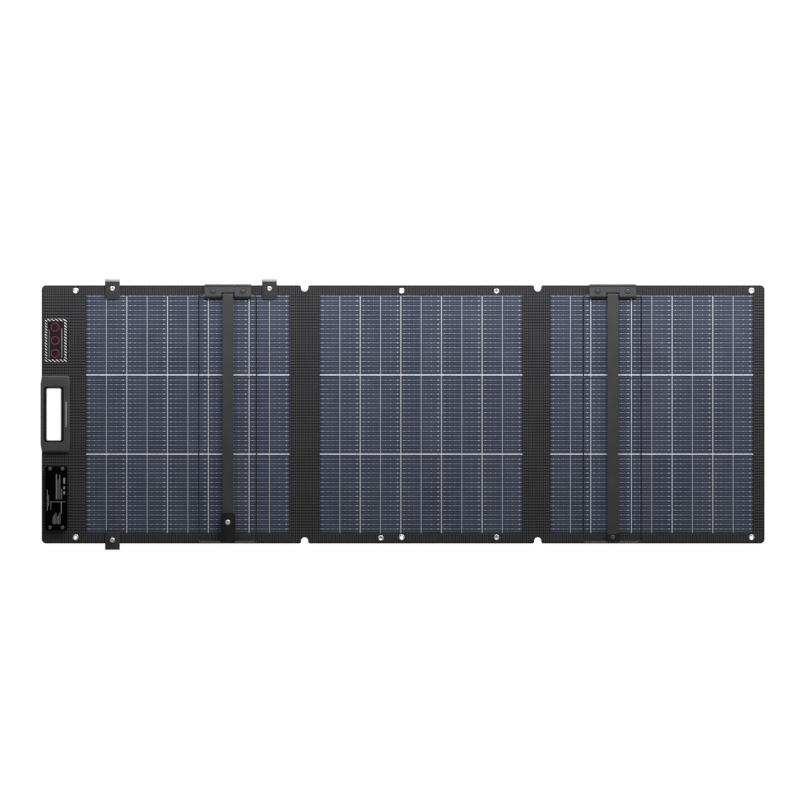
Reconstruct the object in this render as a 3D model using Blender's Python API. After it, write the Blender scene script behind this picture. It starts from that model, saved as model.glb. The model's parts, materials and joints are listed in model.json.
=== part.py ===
"""Folding solar blanket: three stiff solar panels joined by two fabric folds.

The blanket lies flat on its sun side, with its rear side up. The rear side carries two
folding stands, a moulded hand grip, a junction box, closure tabs and a keeper strap.
The right panel folds under the middle one, and the left panel then folds under both.

Axes: +X along the blanket, +Y towards its upper edge, +Z out of its rear side.
The origin is the middle of the blanket on the sun side.
All dimensions below are in millimetres; add() turns them into metres.
"""
import math

import bmesh
import bpy
from mathutils import Matrix, Vector

MM = 0.001

# ---- blanket
LENGTH = 1520.0
HEIGHT = 542.0
CORNER = 9.0
FOLD_LEFT = -207.3            # fold line between the left and the middle panel
FOLD_RIGHT = 283.1            # fold line between the middle and the right panel
WEB = 12.3                    # half width of the soft web along a fold line
GAP = 0.3                     # clearance between touching pieces
SKIN = 1.2                    # thickness of each textured skin
CORE_LOW, CORE_HIGH = 1.5, 3.0
TOP = 4.5                     # rear face of the panels
EDGE_INSET = 3.0              # the laminate ends this far inside the skins' welded edge

# ---- cell fields, each as (left, right); all share one height
FIELDS = {"left": (-666.5, -238.9), "middle": (-175.1, 250.9), "right": (309.8, 736.3)}
FIELD_HALF = 249.6
WINDOW_GAP = 0.4

# ---- notches at both ends of each fold line
NOTCH_DEPTH = 13.0
NOTCH_HALF = 7.35
NOTCH_MOUTH_HALF = 11.5

# ---- fold axes: how far each lies under the sun side
AXIS_DEPTH_LEFT = 9.0         # leaves room for the right panel and its stand
AXIS_DEPTH_RIGHT = 0.5

# ---- eyelets and snap studs
EYELET_TOP, EYELET_BOTTOM = 260.0, -258.7
EYELETS_X = {"left": -689.0, "middle": -3.0, "right": 733.0}
EYELET_FLANGE, EYELET_BARREL, EYELET_BORE = 6.2, 4.2, 3.7
BARREL_HOLE = 4.6             # hole in the skin and laminate for a barrel
FLANGE_HOLE = 6.6             # hole in the front skin for a lower flange
STUDS = {"top_right": (196.5, 259.2), "bottom_right": (196.5, -258.7),
         "bottom_left": (-46.8, -260.0)}
STUD_FLANGE, STUD_SOCKET = 5.8, 2.3

# ---- closure tabs: centre x and the edge that each folds over
TABS = {1: (-611.5, 1), 2: (-281.3, 1), 3: (-611.5, -1)}
TAB_HALF = 15.5
TAB_AXIS_Y = 284.5
TAB_AXIS_Z = 5.25
TAB_INNER_Y = 242.1
TAB_SNAP_Y = 264.5
TAB_LOW, TAB_HIGH = 6.0, 7.4

# ---- stands
STANDS_X = {"left": -368.4, "right": 440.9}
BRACKET_HALF = 49.0
BRACKET_LOW_Y, BRACKET_HIGH_Y = 243.4, 273.9
BRACKET_FACE_Y = 250.0
BRACKET_TOP = 14.0
BRACKET_LIP_Y = 271.4
BRACKET_CHAMFER = 3.5
SLOT_HALF, SLOT_END_Y = 13.5, 255.3
BRACKET_SCREW_X, BRACKET_SCREW_Y = 31.7, 258.8
CLAMP_PLATE_Y = (254.0, 271.0)
AXLE_Y, AXLE_Z = 251.0, 9.2   # the stands' hinge axis
AXLE_HOLE, PIN_RADIUS, PIN_HALF = 2.25, 1.9, 40.0
BAR_HALF, BAR_LOW, BAR_HIGH = 11.3, 11.0, 13.0
KNUCKLE = 3.8
BAR_END_Y, TONGUE_END_Y, TONGUE_HALF = -251.2, -262.0, 9.0
WIRE_RADIUS, WIRE_HALF, WIRE_BEND = 1.5, 60.75, 6.0
WIRE_ROD_Y, WIRE_CROSS_Y, WIRE_END_X = -265.3, 78.2, 42.3
FOOT_HALF, FOOT_Y, FOOT_Z = 12.0, (-267.9, -251.6), (6.2, 14.6)
RIVET_Y = -258.4

# ---- keeper strap on the left stand's foot
KEEPER_HALF = 15.5
KEEPER_INNER_Y, KEEPER_SNAP_Y = -207.3, -226.9
KEEPER_AXIS_Y, KEEPER_AXIS_Z = -268.6, 13.2
KEEPER_LOW, KEEPER_HIGH = 16.6, 17.9

# ---- hand grip
GRIP_X, GRIP_Y = (-762.7, -701.0), (-79.3, 81.3)
GRIP_TAPER, GRIP_TAPER_LENGTH = 2.9, 17.0
GRIP_TOP, GRIP_CHAMFER = 10.8, 1.6
HOLE_X, HOLE_Y, HOLE_CORNER = (-750.9, -718.7), (-55.7, 55.6), 4.0
COLLAR = 2.4

# ---- label plate and junction box
LABEL_X, LABEL_Y, LABEL_THICK = (-754.3, -705.2), (110.2, 201.5), 0.3
BOX_X, BOX_Y, BOX_CORNER = (-753.2, -705.6), (-243.5, -109.2), 5.0
BOX_WALL_TOP, LID_TOP = 12.0, 15.0
BOX_SCREW_X, BOX_SCREW_Y = 13.15, 61.8
GROMMET_Z = 8.6
PASSAGE = (-729.4, -150.0, 6.0)

COLOURS = {
    "woven_skin": ((0.020, 0.021, 0.023, 1), 0.75, 0.0),
    "laminate": ((0.055, 0.070, 0.115, 1), 0.30, 0.0),
    "fold_fabric": ((0.018, 0.019, 0.021, 1), 0.80, 0.0),
    "strap": ((0.012, 0.012, 0.014, 1), 0.85, 0.0),
    "moulding": ((0.035, 0.036, 0.038, 1), 0.50, 0.0),
    "gloss_lid": ((0.004, 0.004, 0.005, 1), 0.15, 0.0),
    "label": ((0.030, 0.028, 0.028, 1), 0.40, 0.0),
    "board": ((0.020, 0.120, 0.050, 1), 0.50, 0.0),
    "coated_steel": ((0.045, 0.046, 0.048, 1), 0.55, 0.6),
    "wire_steel": ((0.070, 0.070, 0.072, 1), 0.35, 0.9),
    "bright_metal": ((0.620, 0.620, 0.630, 1), 0.25, 1.0),
    "black_screw": ((0.030, 0.030, 0.032, 1), 0.35, 0.8),
    "rubber": ((0.015, 0.015, 0.016, 1), 0.90, 0.0),
}


# ------------------------------------------------------------------ scene

def clear_scene():
    for item in list(bpy.data.objects):
        bpy.data.objects.remove(item, do_unlink=True)


def make_material(name):
    colour, roughness, metallic = COLOURS[name]
    made = bpy.data.materials.new(name)
    made.use_nodes = True
    shader = made.node_tree.nodes["Principled BSDF"]
    shader.inputs["Base Color"].default_value = colour
    shader.inputs["Roughness"].default_value = roughness
    shader.inputs["Metallic"].default_value = metallic
    return made


def make_frame(name, at, parent=None):
    """An empty on a joint's axis, which carries everything that moves with the joint."""
    frame = bpy.data.objects.new(name, None)
    bpy.context.collection.objects.link(frame)
    frame.parent = parent
    base = Vector(parent["place"]) if parent else Vector()
    frame["place"] = list(at)
    frame.location = (Vector(at) - base) * MM
    return frame


def add(name, bm, material, frame, at=None, smooth=True):
    """Turns a bmesh in world millimetres into an object whose origin is at `at`."""
    origin = Vector(at or frame["place"])
    bmesh.ops.recalc_face_normals(bm, faces=bm.faces)
    bmesh.ops.translate(bm, verts=bm.verts, vec=-origin)
    bmesh.ops.scale(bm, verts=bm.verts, vec=(MM, MM, MM))
    mesh = bpy.data.meshes.new(name)
    bm.to_mesh(mesh)
    bm.free()
    if smooth:
        mesh.shade_smooth()
        mesh.set_sharp_from_angle(angle=math.radians(35))
    made = bpy.data.objects.new(name, mesh)
    bpy.context.collection.objects.link(made)
    made.data.materials.append(MATERIALS[material] if material else None)
    made.parent = frame
    made.location = (origin - Vector(frame["place"])) * MM
    return made


def combine(piece, bm, operation):
    """Adds a Boolean with its own hidden tool, which sits in the piece's frame."""
    tool = add(f"{piece.name}_{operation.lower()}", bm, None, piece.parent, smooth=False)
    tool.hide_render = True
    tool.display_type = "WIRE"
    step = piece.modifiers.new(operation.title(), "BOOLEAN")
    step.operation = operation
    step.solver = "EXACT"
    step.object = tool


# ------------------------------------------------------------------ outlines

def arc(x, y, radius, start, end, steps):
    """Points on an arc, with angles in degrees, both ends included."""
    angles = [math.radians(start + (end - start) * i / steps) for i in range(steps + 1)]
    return [(x + radius * math.cos(a), y + radius * math.sin(a)) for a in angles]


def circle(x, y, radius, steps=12):
    return arc(x, y, radius, 0, 360, steps)[:-1]


def rectangle(x, y, radius=0.0, steps=3):
    """A counter-clockwise rectangle over the ranges x and y, with round corners."""
    if not radius:
        return [(x[0], y[0]), (x[1], y[0]), (x[1], y[1]), (x[0], y[1])]
    left, right, low, high = x[0] + radius, x[1] - radius, y[0] + radius, y[1] - radius
    return (arc(left, low, radius, 180, 270, steps) + arc(right, low, radius, 270, 360, steps)
            + arc(right, high, radius, 0, 90, steps) + arc(left, high, radius, 90, 180, steps))


def grown(span, by):
    return span[0] - by, span[1] + by


def insert_step(outline, x, y, reach, half):
    """Adds a step of width 2 * half at height y to a long straight edge, up to `reach`."""
    made = []
    for here, there in zip(outline, outline[1:] + outline[:1]):
        made.append(here)
        if abs(here[1] - y) < 1e-6 and abs(there[1] - y) < 1e-6:
            low, high = sorted((here[0], there[0]))
            if low < x - half and x + half < high:
                turn = 1 if there[0] > here[0] else -1
                made += [(x - turn * half, y), (x - turn * half, reach),
                         (x + turn * half, reach), (x + turn * half, y)]
    return made


def panel_outline(side, inset=0.0, fold_gap=0.0):
    """The outline of one panel between its webs; its outer corners are round."""
    half, high = LENGTH / 2 - inset, HEIGHT / 2 - inset
    left = -half if side == "left" else (FOLD_LEFT if side == "middle" else FOLD_RIGHT)
    right = half if side == "right" else (FOLD_LEFT if side == "left" else FOLD_RIGHT)
    left += 0 if side == "left" else WEB + fold_gap
    right -= 0 if side == "right" else WEB + fold_gap
    if side == "middle":
        return rectangle((left, right), (-high, high))
    outer = rectangle((left, right), (-high, high), CORNER - inset)
    straight = right if side == "left" else left
    keep = [p for p in outer if abs(p[0] - straight) > CORNER - inset - 1e-6]
    ends = [(straight, -high), (straight, high)]
    if side == "left":
        split = next(i for i, p in enumerate(keep) if p[1] > 0)
        return keep[:split] + ends + keep[split:]
    return keep + [ends[1], ends[0]]


# ------------------------------------------------------------------ solids

def ring(bm, outline, z):
    return [bm.verts.new((x, y, z)) for x, y in outline]


def wall(bm, *rings):
    for low, high in zip(rings, rings[1:]):
        for i in range(len(low)):
            bm.faces.new((low[i - 1], low[i], high[i], high[i - 1]))


def cap(bm, *rings):
    edges = [bm.edges.get((r[i - 1], r[i])) for r in rings for i in range(len(r))]
    bmesh.ops.triangle_fill(bm, use_beauty=True, edges=edges)


def plate(outline, low, high, holes=(), bm=None):
    """A flat solid between two heights, with straight-sided holes."""
    bm = bm or bmesh.new()
    loops = [outline, *holes]
    bottom = [ring(bm, loop, low) for loop in loops]
    top = [ring(bm, loop, high) for loop in loops]
    for below, above in zip(bottom, top):
        wall(bm, below, above)
    cap(bm, *bottom)
    cap(bm, *top)
    return bm


def block(x, y, z, bm=None):
    return plate(rectangle(x, y), z[0], z[1], bm=bm)


def prism_x(profile, x):
    """A solid with a profile of (y, z) points, from x[0] to x[1]."""
    bm = plate(profile, x[0], x[1])
    turn = Matrix(((0, 0, 1), (1, 0, 0), (0, 1, 0)))
    bmesh.ops.transform(bm, matrix=turn.to_4x4(), verts=bm.verts)
    return bm


def rod_x(y, z, radius, x, steps=12, bm=None):
    """A round rod along X."""
    made = prism_x(circle(y, z, radius, steps), x)
    return merged(bm, made) if bm else made


def merged(bm, other):
    """Adds the faces of one bmesh to another, as a body of its own."""
    copies = {v: bm.verts.new(v.co) for v in other.verts}
    for face in other.faces:
        bm.faces.new([copies[v] for v in face.verts])
    other.free()
    return bm


def turned(profile, at=(0, 0, 0), steps=12, axis="Z"):
    """A solid of revolution. The profile's (radius, height) points run round its section."""
    bm = bmesh.new()
    rings = []
    for radius, height in profile:
        spots = circle(0, 0, radius, steps) if radius else [(0, 0)]
        rings.append(ring(bm, spots, height))
    pairs = list(zip(rings, rings[1:]))
    if profile[0][0] and profile[-1][0]:
        pairs.append((rings[-1], rings[0]))
    for one, other in pairs:
        for i in range(steps):
            if len(one) == 1:
                bm.faces.new((one[0], other[i], other[i - 1]))
            elif len(other) == 1:
                bm.faces.new((one[i - 1], one[i], other[0]))
            else:
                bm.faces.new((one[i - 1], one[i], other[i], other[i - 1]))
    if axis == "Y":
        bmesh.ops.rotate(bm, verts=bm.verts, matrix=Matrix.Rotation(math.radians(-90), 3, "X"))
    bmesh.ops.translate(bm, verts=bm.verts, vec=at)
    return bm


def rounded_path(points, radius, steps=4):
    """An open path in a plane whose corners are replaced by arcs."""
    path = [Vector(points[0])]
    for before, corner, after in zip(points, points[1:], points[2:]):
        corner = Vector(corner)
        back = (Vector(before) - corner).normalized()
        ahead = (Vector(after) - corner).normalized()
        centre = corner + (back + ahead) * radius
        for i in range(steps + 1):
            turn = math.radians(90) * i / steps
            path.append(centre - ahead * radius * math.cos(turn) - back * radius * math.sin(turn))
    return path + [Vector(points[-1])]


def bent_wire(path, z, radius, sides=8):
    """A round wire along a path in the plane of height z, with closed ends."""
    bm = bmesh.new()
    rings = []
    for i, spot in enumerate(path):
        before = (spot - path[i - 1]).normalized() if i else None
        after = (path[i + 1] - spot).normalized() if i + 1 < len(path) else None
        along = ((before or after) + (after or before)).normalized()
        widen = 1 / along.dot(after or before)
        across = Vector((-along.y, along.x)) * widen
        spots = []
        for k in range(sides):
            turn = 2 * math.pi * (k + 0.5) / sides
            flat = spot + across * radius * math.cos(turn)
            spots.append(bm.verts.new((flat.x, flat.y, z + radius * math.sin(turn))))
        rings.append(spots)
    wall(bm, *rings)
    bm.faces.new(rings[0])
    bm.faces.new(rings[-1])
    return bm


# ------------------------------------------------------------------ panels

def barrel_holes(side, radius):
    """Round holes for the eyelets and, on the middle panel, the snap studs."""
    spots = [(EYELETS_X[side], EYELET_TOP), (EYELETS_X[side], EYELET_BOTTOM)]
    if side == "middle":
        spots += STUDS.values()
    return [circle(x, y, radius) for x, y in spots]


def bracket_holes(side, radius):
    if side not in STANDS_X:
        return []
    middle = STANDS_X[side]
    return [circle(middle + s * BRACKET_SCREW_X, BRACKET_SCREW_Y, radius, 8) for s in (-1, 1)]


def hand_hole():
    clear = COLLAR + GAP
    return rectangle(grown(HOLE_X, clear), grown(HOLE_Y, clear), HOLE_CORNER + clear)


def window(side):
    return rectangle(grown(FIELDS[side], WINDOW_GAP), (-FIELD_HALF - WINDOW_GAP,
                                                       FIELD_HALF + WINDOW_GAP))


def rear_skin(side, frame):
    outline = panel_outline(side)
    holes = [window(side)] + barrel_holes(side, BARREL_HOLE) + bracket_holes(side, 2.3)
    if side == "left":
        for x, edge in TABS.values():
            reach = edge * (TAB_AXIS_Y - 2 * GAP)
            outline = insert_step(outline, x, edge * HEIGHT / 2, reach, TAB_HALF)
        holes += [hand_hole(), circle(*PASSAGE)]
    add(f"rear_skin_{side}", plate(outline, TOP - SKIN, TOP, holes), "woven_skin", frame)


def front_skin(side, frame):
    outline = panel_outline(side)
    holes = [window(side)] + barrel_holes(side, FLANGE_HOLE)
    if side in STANDS_X:
        half = BRACKET_HALF + GAP
        outline = insert_step(outline, STANDS_X[side], HEIGHT / 2, CLAMP_PLATE_Y[0] - GAP, half)
    if side == "left":
        edge, inner = -LENGTH / 2, GRIP_X[1] + 2 * GAP
        cut = grown(GRIP_Y, 2 * GAP)
        corner = next(i for i, p in enumerate(outline) if p[0] == edge and p[1] > 0)
        outline = (outline[:corner + 1] + [(edge, cut[1]), (inner, cut[1]), (inner, cut[0]),
                                           (edge, cut[0])] + outline[corner + 1:])
    add(f"front_skin_{side}", plate(outline, 0, SKIN, holes), "woven_skin", frame)


def cell_laminate(side, frame):
    """The stiff sheet through the whole panel, thicker where the cells are."""
    outline = panel_outline(side, EDGE_INSET)
    holes = barrel_holes(side, BARREL_HOLE) + bracket_holes(side, 2.3)
    if side == "left":
        holes += [hand_hole(), circle(*PASSAGE)]
    piece = add(f"cell_laminate_{side}", plate(outline, CORE_LOW, CORE_HIGH, holes),
                "laminate", frame)
    combine(piece, block(FIELDS[side], (-FIELD_HALF, FIELD_HALF), (0, TOP)), "UNION")


def notch_half(fold, side, edge):
    """Half of the notch at one end of a fold line, from the panel towards the fold line."""
    high = HEIGHT / 2
    shoulder = NOTCH_MOUTH_HALF - NOTCH_HALF
    points = [(WEB - GAP, high)] + arc(NOTCH_MOUTH_HALF, high - shoulder, shoulder, 90, 180, 4)
    points += arc(0, high - NOTCH_DEPTH + NOTCH_HALF, NOTCH_HALF, 0, -86, 6)
    return [(fold + side * x, edge * y) for x, y in points]


def fold_web(name, fold, side, frame):
    top, bottom = notch_half(fold, side, 1), notch_half(fold, side, -1)
    bm = plate(top + bottom[::-1], GAP, TOP - GAP)
    add(name, bm, "fold_fabric", frame)


def eyelet(name, x, y, frame):
    profile = [(EYELET_BORE, 0.2), (EYELET_FLANGE, 0.2), (EYELET_FLANGE, 1.0),
               (EYELET_BARREL, 1.0), (EYELET_BARREL, TOP + GAP), (EYELET_FLANGE, TOP + GAP),
               (EYELET_FLANGE - 0.8, TOP + 1.3), (EYELET_BORE + 0.5, TOP + 1.3),
               (EYELET_BORE, TOP + 0.9)]
    add(name, turned(profile, (x, y, 0)), "bright_metal", frame, (x, y, 0))


def snap_stud(name, x, y, frame):
    """A riveted press-stud socket: blind, with its back in the sun-side skin."""
    profile = [(0, 0.2), (STUD_FLANGE, 0.2), (STUD_FLANGE, 1.0), (EYELET_BARREL, 1.0),
               (EYELET_BARREL, TOP + GAP), (STUD_FLANGE, TOP + GAP), (STUD_FLANGE, TOP + 1.3),
               (STUD_FLANGE - 1.0, TOP + 2.0), (STUD_SOCKET, TOP + 1.7), (STUD_SOCKET, TOP),
               (0, TOP)]
    add(name, turned(profile, (x, y, 0)), "bright_metal", frame, (x, y, 0))


def snap_cap(name, x, y, low, high, drop, frame):
    """A press-stud cap through a strap that lies between the heights low and high."""
    profile = [(0, low - drop), (4.5, low - drop), (4.5, low - GAP), (1.7, low - GAP),
               (1.7, high + GAP), (5.25, high + GAP), (5.25, high + 0.9), (3.6, high + 1.6),
               (0, high + 1.8)]
    add(name, turned(profile, (x, y, 0)), "bright_metal", frame, (x, y, high))


def panel(side, frame):
    front_skin(side, frame)
    cell_laminate(side, frame)
    rear_skin(side, frame)
    eyelet(f"eyelet_top_{side}", EYELETS_X[side], EYELET_TOP, frame)
    eyelet(f"eyelet_bottom_{side}", EYELETS_X[side], EYELET_BOTTOM, frame)


# ------------------------------------------------------------------ closure tabs

def closure_tab(number, parent):
    x, edge = TABS[number]
    axis = (x, edge * TAB_AXIS_Y, TAB_AXIS_Z)
    frame = make_frame(f"axis_closure_tab_{number}", axis, parent)
    inner, outer, cut = edge * TAB_INNER_Y, edge * (TAB_AXIS_Y - 0.1), 6.0
    outline = [(x - TAB_HALF, outer), (x + TAB_HALF, outer), (x + TAB_HALF, inner + edge * cut),
               (x + TAB_HALF - cut, inner), (x - TAB_HALF + cut, inner),
               (x - TAB_HALF, inner + edge * cut)]
    hole = circle(x, edge * TAB_SNAP_Y, 2.1)
    add(f"closure_tab_{number}", plate(outline, TAB_LOW, TAB_HIGH, [hole]), "strap", frame)
    snap_cap(f"closure_snap_{number}", x, edge * TAB_SNAP_Y, TAB_LOW, TAB_HIGH, 1.2, frame)


# ------------------------------------------------------------------ stands

def stand_bracket(side, frame):
    """Two cheeks and a cover over the panel's upper edge, around the leg's knuckle."""
    middle = STANDS_X[side]
    profile = [(BRACKET_LOW_Y, TOP + GAP), (BRACKET_LOW_Y, TOP + 1.5),
               (BRACKET_FACE_Y, BRACKET_TOP), (BRACKET_HIGH_Y - 2, BRACKET_TOP),
               (BRACKET_HIGH_Y, BRACKET_TOP - 2), (BRACKET_HIGH_Y, 0.1), (BRACKET_LIP_Y, 0.1),
               (BRACKET_LIP_Y, TOP + GAP)]
    bm = prism_x(profile, (middle - BRACKET_HALF, middle + BRACKET_HALF))
    piece = add(f"stand_bracket_{side}", bm, "moulding", frame, (middle, AXLE_Y, AXLE_Z))
    half, low, high = BRACKET_HALF, BRACKET_LOW_Y - 1, BRACKET_HIGH_Y + 1
    reach = BRACKET_CHAMFER + 1
    outline = [(-half, low), (-SLOT_HALF, low), (-SLOT_HALF, SLOT_END_Y),
               (SLOT_HALF, SLOT_END_Y), (SLOT_HALF, low), (half, low), (half, high - reach),
               (half - reach, high), (reach - half, high), (-half, high - reach)]
    keep = plate([(middle + x, y) for x, y in outline], -1, BRACKET_TOP + 1)
    combine(piece, keep, "INTERSECT")
    cuts = rod_x(AXLE_Y, AXLE_Z, AXLE_HOLE, (middle - half - 1, middle + half + 1))
    bore = [(0, 0), (2.3, 0), (2.3, 12.0), (5.1, 12.0), (5.1, BRACKET_TOP + 1),
            (0, BRACKET_TOP + 1)]
    for s in (-1, 1):
        merged(cuts, turned(bore, (middle + s * BRACKET_SCREW_X, BRACKET_SCREW_Y, 0)))
    combine(piece, cuts, "DIFFERENCE")


def bracket_fixings(side, frame):
    """The sun-side clamp plate, two screws and the hinge pin."""
    middle = STANDS_X[side]
    span = (middle - BRACKET_HALF, middle + BRACKET_HALF)
    holes = [circle(middle + s * BRACKET_SCREW_X, BRACKET_SCREW_Y, 2.2, 8) for s in (-1, 1)]
    add(f"clamp_plate_{side}", plate(rectangle(span, CLAMP_PLATE_Y), 0.1, SKIN, holes),
        "coated_steel", frame)
    screw = [(0, 0.3), (1.9, 0.3), (1.9, 12.3), (4.75, 12.3), (4.75, 13.4), (3.6, 14.6),
             (1.6, 15.1), (0, 14.2)]
    for number, s in enumerate((-1, 1), 1):
        at = (middle + s * BRACKET_SCREW_X, BRACKET_SCREW_Y, 0)
        add(f"bracket_screw_{side}_{number}", turned(screw, at), "black_screw", frame, at)
    pin = rod_x(AXLE_Y, AXLE_Z, PIN_RADIUS, (middle - PIN_HALF, middle + PIN_HALF))
    add(f"hinge_pin_{side}", pin, "bright_metal", frame, (middle, AXLE_Y, AXLE_Z))


def stand_bar(side, frame):
    """The flat leg: a strip with a knuckle at its top and a tongue in the foot."""
    middle = STANDS_X[side]
    drop = math.degrees(math.asin((BAR_LOW - AXLE_Z) / KNUCKLE))
    profile = [(TONGUE_END_Y, BAR_HIGH), (TONGUE_END_Y, BAR_LOW)]
    profile += arc(AXLE_Y, AXLE_Z, KNUCKLE, 180 - drop, 450, 12)
    bm = prism_x(profile, (middle - BAR_HALF, middle + BAR_HALF))
    piece = add(f"stand_bar_{side}", bm, "coated_steel", frame)
    cuts = rod_x(AXLE_Y, AXLE_Z, AXLE_HOLE, (middle - BAR_HALF - 1, middle + BAR_HALF + 1))
    for s in (-1, 1):
        x = sorted((middle + s * TONGUE_HALF, middle + s * (BAR_HALF + 1)))
        block(x, (TONGUE_END_Y - 1, BAR_END_Y), (BAR_LOW - 1, BAR_HIGH + 1), bm=cuts)
    plate(circle(middle, RIVET_Y, 2.0), BAR_LOW - 1, BAR_HIGH + 1, bm=cuts)
    combine(piece, cuts, "DIFFERENCE")


def stand_wire(side, frame):
    """The wire bail: its ends turn in the bracket, and a crossbar stiffens it."""
    middle = STANDS_X[side]
    corners = [(middle - WIRE_END_X, AXLE_Y), (middle - WIRE_HALF, AXLE_Y),
               (middle - WIRE_HALF, WIRE_ROD_Y), (middle + WIRE_HALF, WIRE_ROD_Y),
               (middle + WIRE_HALF, AXLE_Y), (middle + WIRE_END_X, AXLE_Y)]
    bm = bent_wire(rounded_path(corners, WIRE_BEND), AXLE_Z, WIRE_RADIUS)
    piece = add(f"stand_wire_{side}", bm, "wire_steel", frame)
    cross = rod_x(WIRE_CROSS_Y, AXLE_Z, WIRE_RADIUS - 0.15,
                  (middle - WIRE_HALF, middle + WIRE_HALF), 8)
    combine(piece, cross, "UNION")


def stand_foot(side, frame):
    middle = STANDS_X[side]
    span = (middle - FOOT_HALF, middle + FOOT_HALF)
    piece = add(f"stand_foot_{side}", block(span, FOOT_Y, FOOT_Z), "rubber", frame)
    cuts = rod_x(WIRE_ROD_Y, AXLE_Z, WIRE_RADIUS + GAP, grown(span, 1))
    combine(piece, cuts, "DIFFERENCE")
    pocket = block((middle - TONGUE_HALF - GAP, middle + TONGUE_HALF + GAP),
                   (TONGUE_END_Y - GAP, FOOT_Y[1] + 1), (BAR_LOW - GAP, BAR_HIGH + GAP))
    combine(piece, pocket, "DIFFERENCE")
    combine(piece, plate(circle(middle, RIVET_Y, 1.9), 0, FOOT_Z[1] + 1), "DIFFERENCE")
    rivet = [(0, 4.9), (2.6, 4.9), (2.6, 5.9), (1.5, 5.9), (1.5, 14.9), (4.75, 14.9),
             (4.5, 15.5), (2.8, 16.0), (0, 16.1)]
    at = (middle, RIVET_Y, 0)
    add(f"foot_rivet_{side}", turned(rivet, at), "bright_metal", frame, at)


def stand_leg(side, parent):
    frame = make_frame(f"axis_leg_{side}", (STANDS_X[side], AXLE_Y, AXLE_Z), parent)
    stand_bar(side, frame)
    stand_wire(side, frame)
    stand_foot(side, frame)
    return frame


def keeper_strap(parent):
    """The strap looped round the left stand's bottom rod, and folded back over its bar."""
    middle = STANDS_X["left"]
    x = (middle - KEEPER_HALF, middle + KEEPER_HALF)
    low, end = KEEPER_AXIS_Y - 0.4, KEEPER_AXIS_Y + 0.4
    loop = [(low, 4.9), (low, KEEPER_AXIS_Z - 0.7), (end, KEEPER_AXIS_Z - 0.7), (end, 5.8),
            (RIVET_Y - 4, 5.8), (RIVET_Y - 4, 4.9)]
    add("keeper_loop", prism_x(loop, x), "strap", parent)
    axis = (middle, KEEPER_AXIS_Y, KEEPER_AXIS_Z)
    frame = make_frame("axis_keeper_strap", axis, parent)
    near, far, cut = KEEPER_AXIS_Y + 0.8, KEEPER_INNER_Y, 5.0
    outline = [(x[0], near), (x[1], near), (x[1], far - cut), (x[1] - cut, far),
               (x[0] + cut, far), (x[0], far - cut)]
    hole = circle(middle, KEEPER_SNAP_Y, 2.1)
    add("keeper_strap", plate(outline, KEEPER_LOW, KEEPER_HIGH, [hole]), "strap", frame)
    snap_cap("keeper_snap", middle, KEEPER_SNAP_Y, KEEPER_LOW, KEEPER_HIGH, 1.4, frame)


# ------------------------------------------------------------------ hand grip

def grip_outline(inset=0.0):
    """The grip's outline, whose four corners taper in."""
    x, y = grown(GRIP_X, -inset), grown(GRIP_Y, -inset)
    run, step = GRIP_TAPER_LENGTH, GRIP_TAPER
    return [(x[0] + step, y[0]), (x[1] - step, y[0]), (x[1], y[0] + run), (x[1], y[1] - run),
            (x[1] - step, y[1]), (x[0] + step, y[1]), (x[0], y[1] - run), (x[0], y[0] + run)]


def hand_grip(frame):
    opening = rectangle(HOLE_X, HOLE_Y, HOLE_CORNER)
    wide = rectangle(grown(HOLE_X, GRIP_CHAMFER), grown(HOLE_Y, GRIP_CHAMFER),
                     HOLE_CORNER + GRIP_CHAMFER)
    collar = rectangle(grown(HOLE_X, COLLAR), grown(HOLE_Y, COLLAR), HOLE_CORNER + COLLAR)
    low, shoulder, foot = TOP + GAP, GRIP_TOP - GRIP_CHAMFER, SKIN + GAP
    bm = bmesh.new()
    outer = [ring(bm, grip_outline(), low), ring(bm, grip_outline(), shoulder),
             ring(bm, grip_outline(GRIP_CHAMFER), GRIP_TOP)]
    inner = [ring(bm, opening, foot), ring(bm, opening, shoulder), ring(bm, wide, GRIP_TOP)]
    sleeve = [ring(bm, collar, foot), ring(bm, collar, low)]
    for rings in (outer, inner, sleeve):
        wall(bm, *rings)
    cap(bm, outer[-1], inner[-1])
    cap(bm, outer[0], sleeve[1])
    cap(bm, sleeve[0], inner[0])
    piece = add("grip_rear_shell", bm, "moulding", frame)
    edge = -LENGTH / 2 - GAP
    lip = block((GRIP_X[0] + 0.1, edge), grown(GRIP_Y, -GRIP_TAPER_LENGTH - 1), (foot, 7.0))
    combine(piece, lip, "UNION")
    add("grip_front_shell", plate(grip_outline(), 0.1, SKIN, [opening]), "moulding", frame)


# ------------------------------------------------------------------ junction box

def box_screws():
    middle = Vector((sum(BOX_X) / 2, sum(BOX_Y) / 2))
    return [(middle.x + i * BOX_SCREW_X, middle.y + j * BOX_SCREW_Y)
            for j in (1, -1) for i in (-1, 1)]


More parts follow.
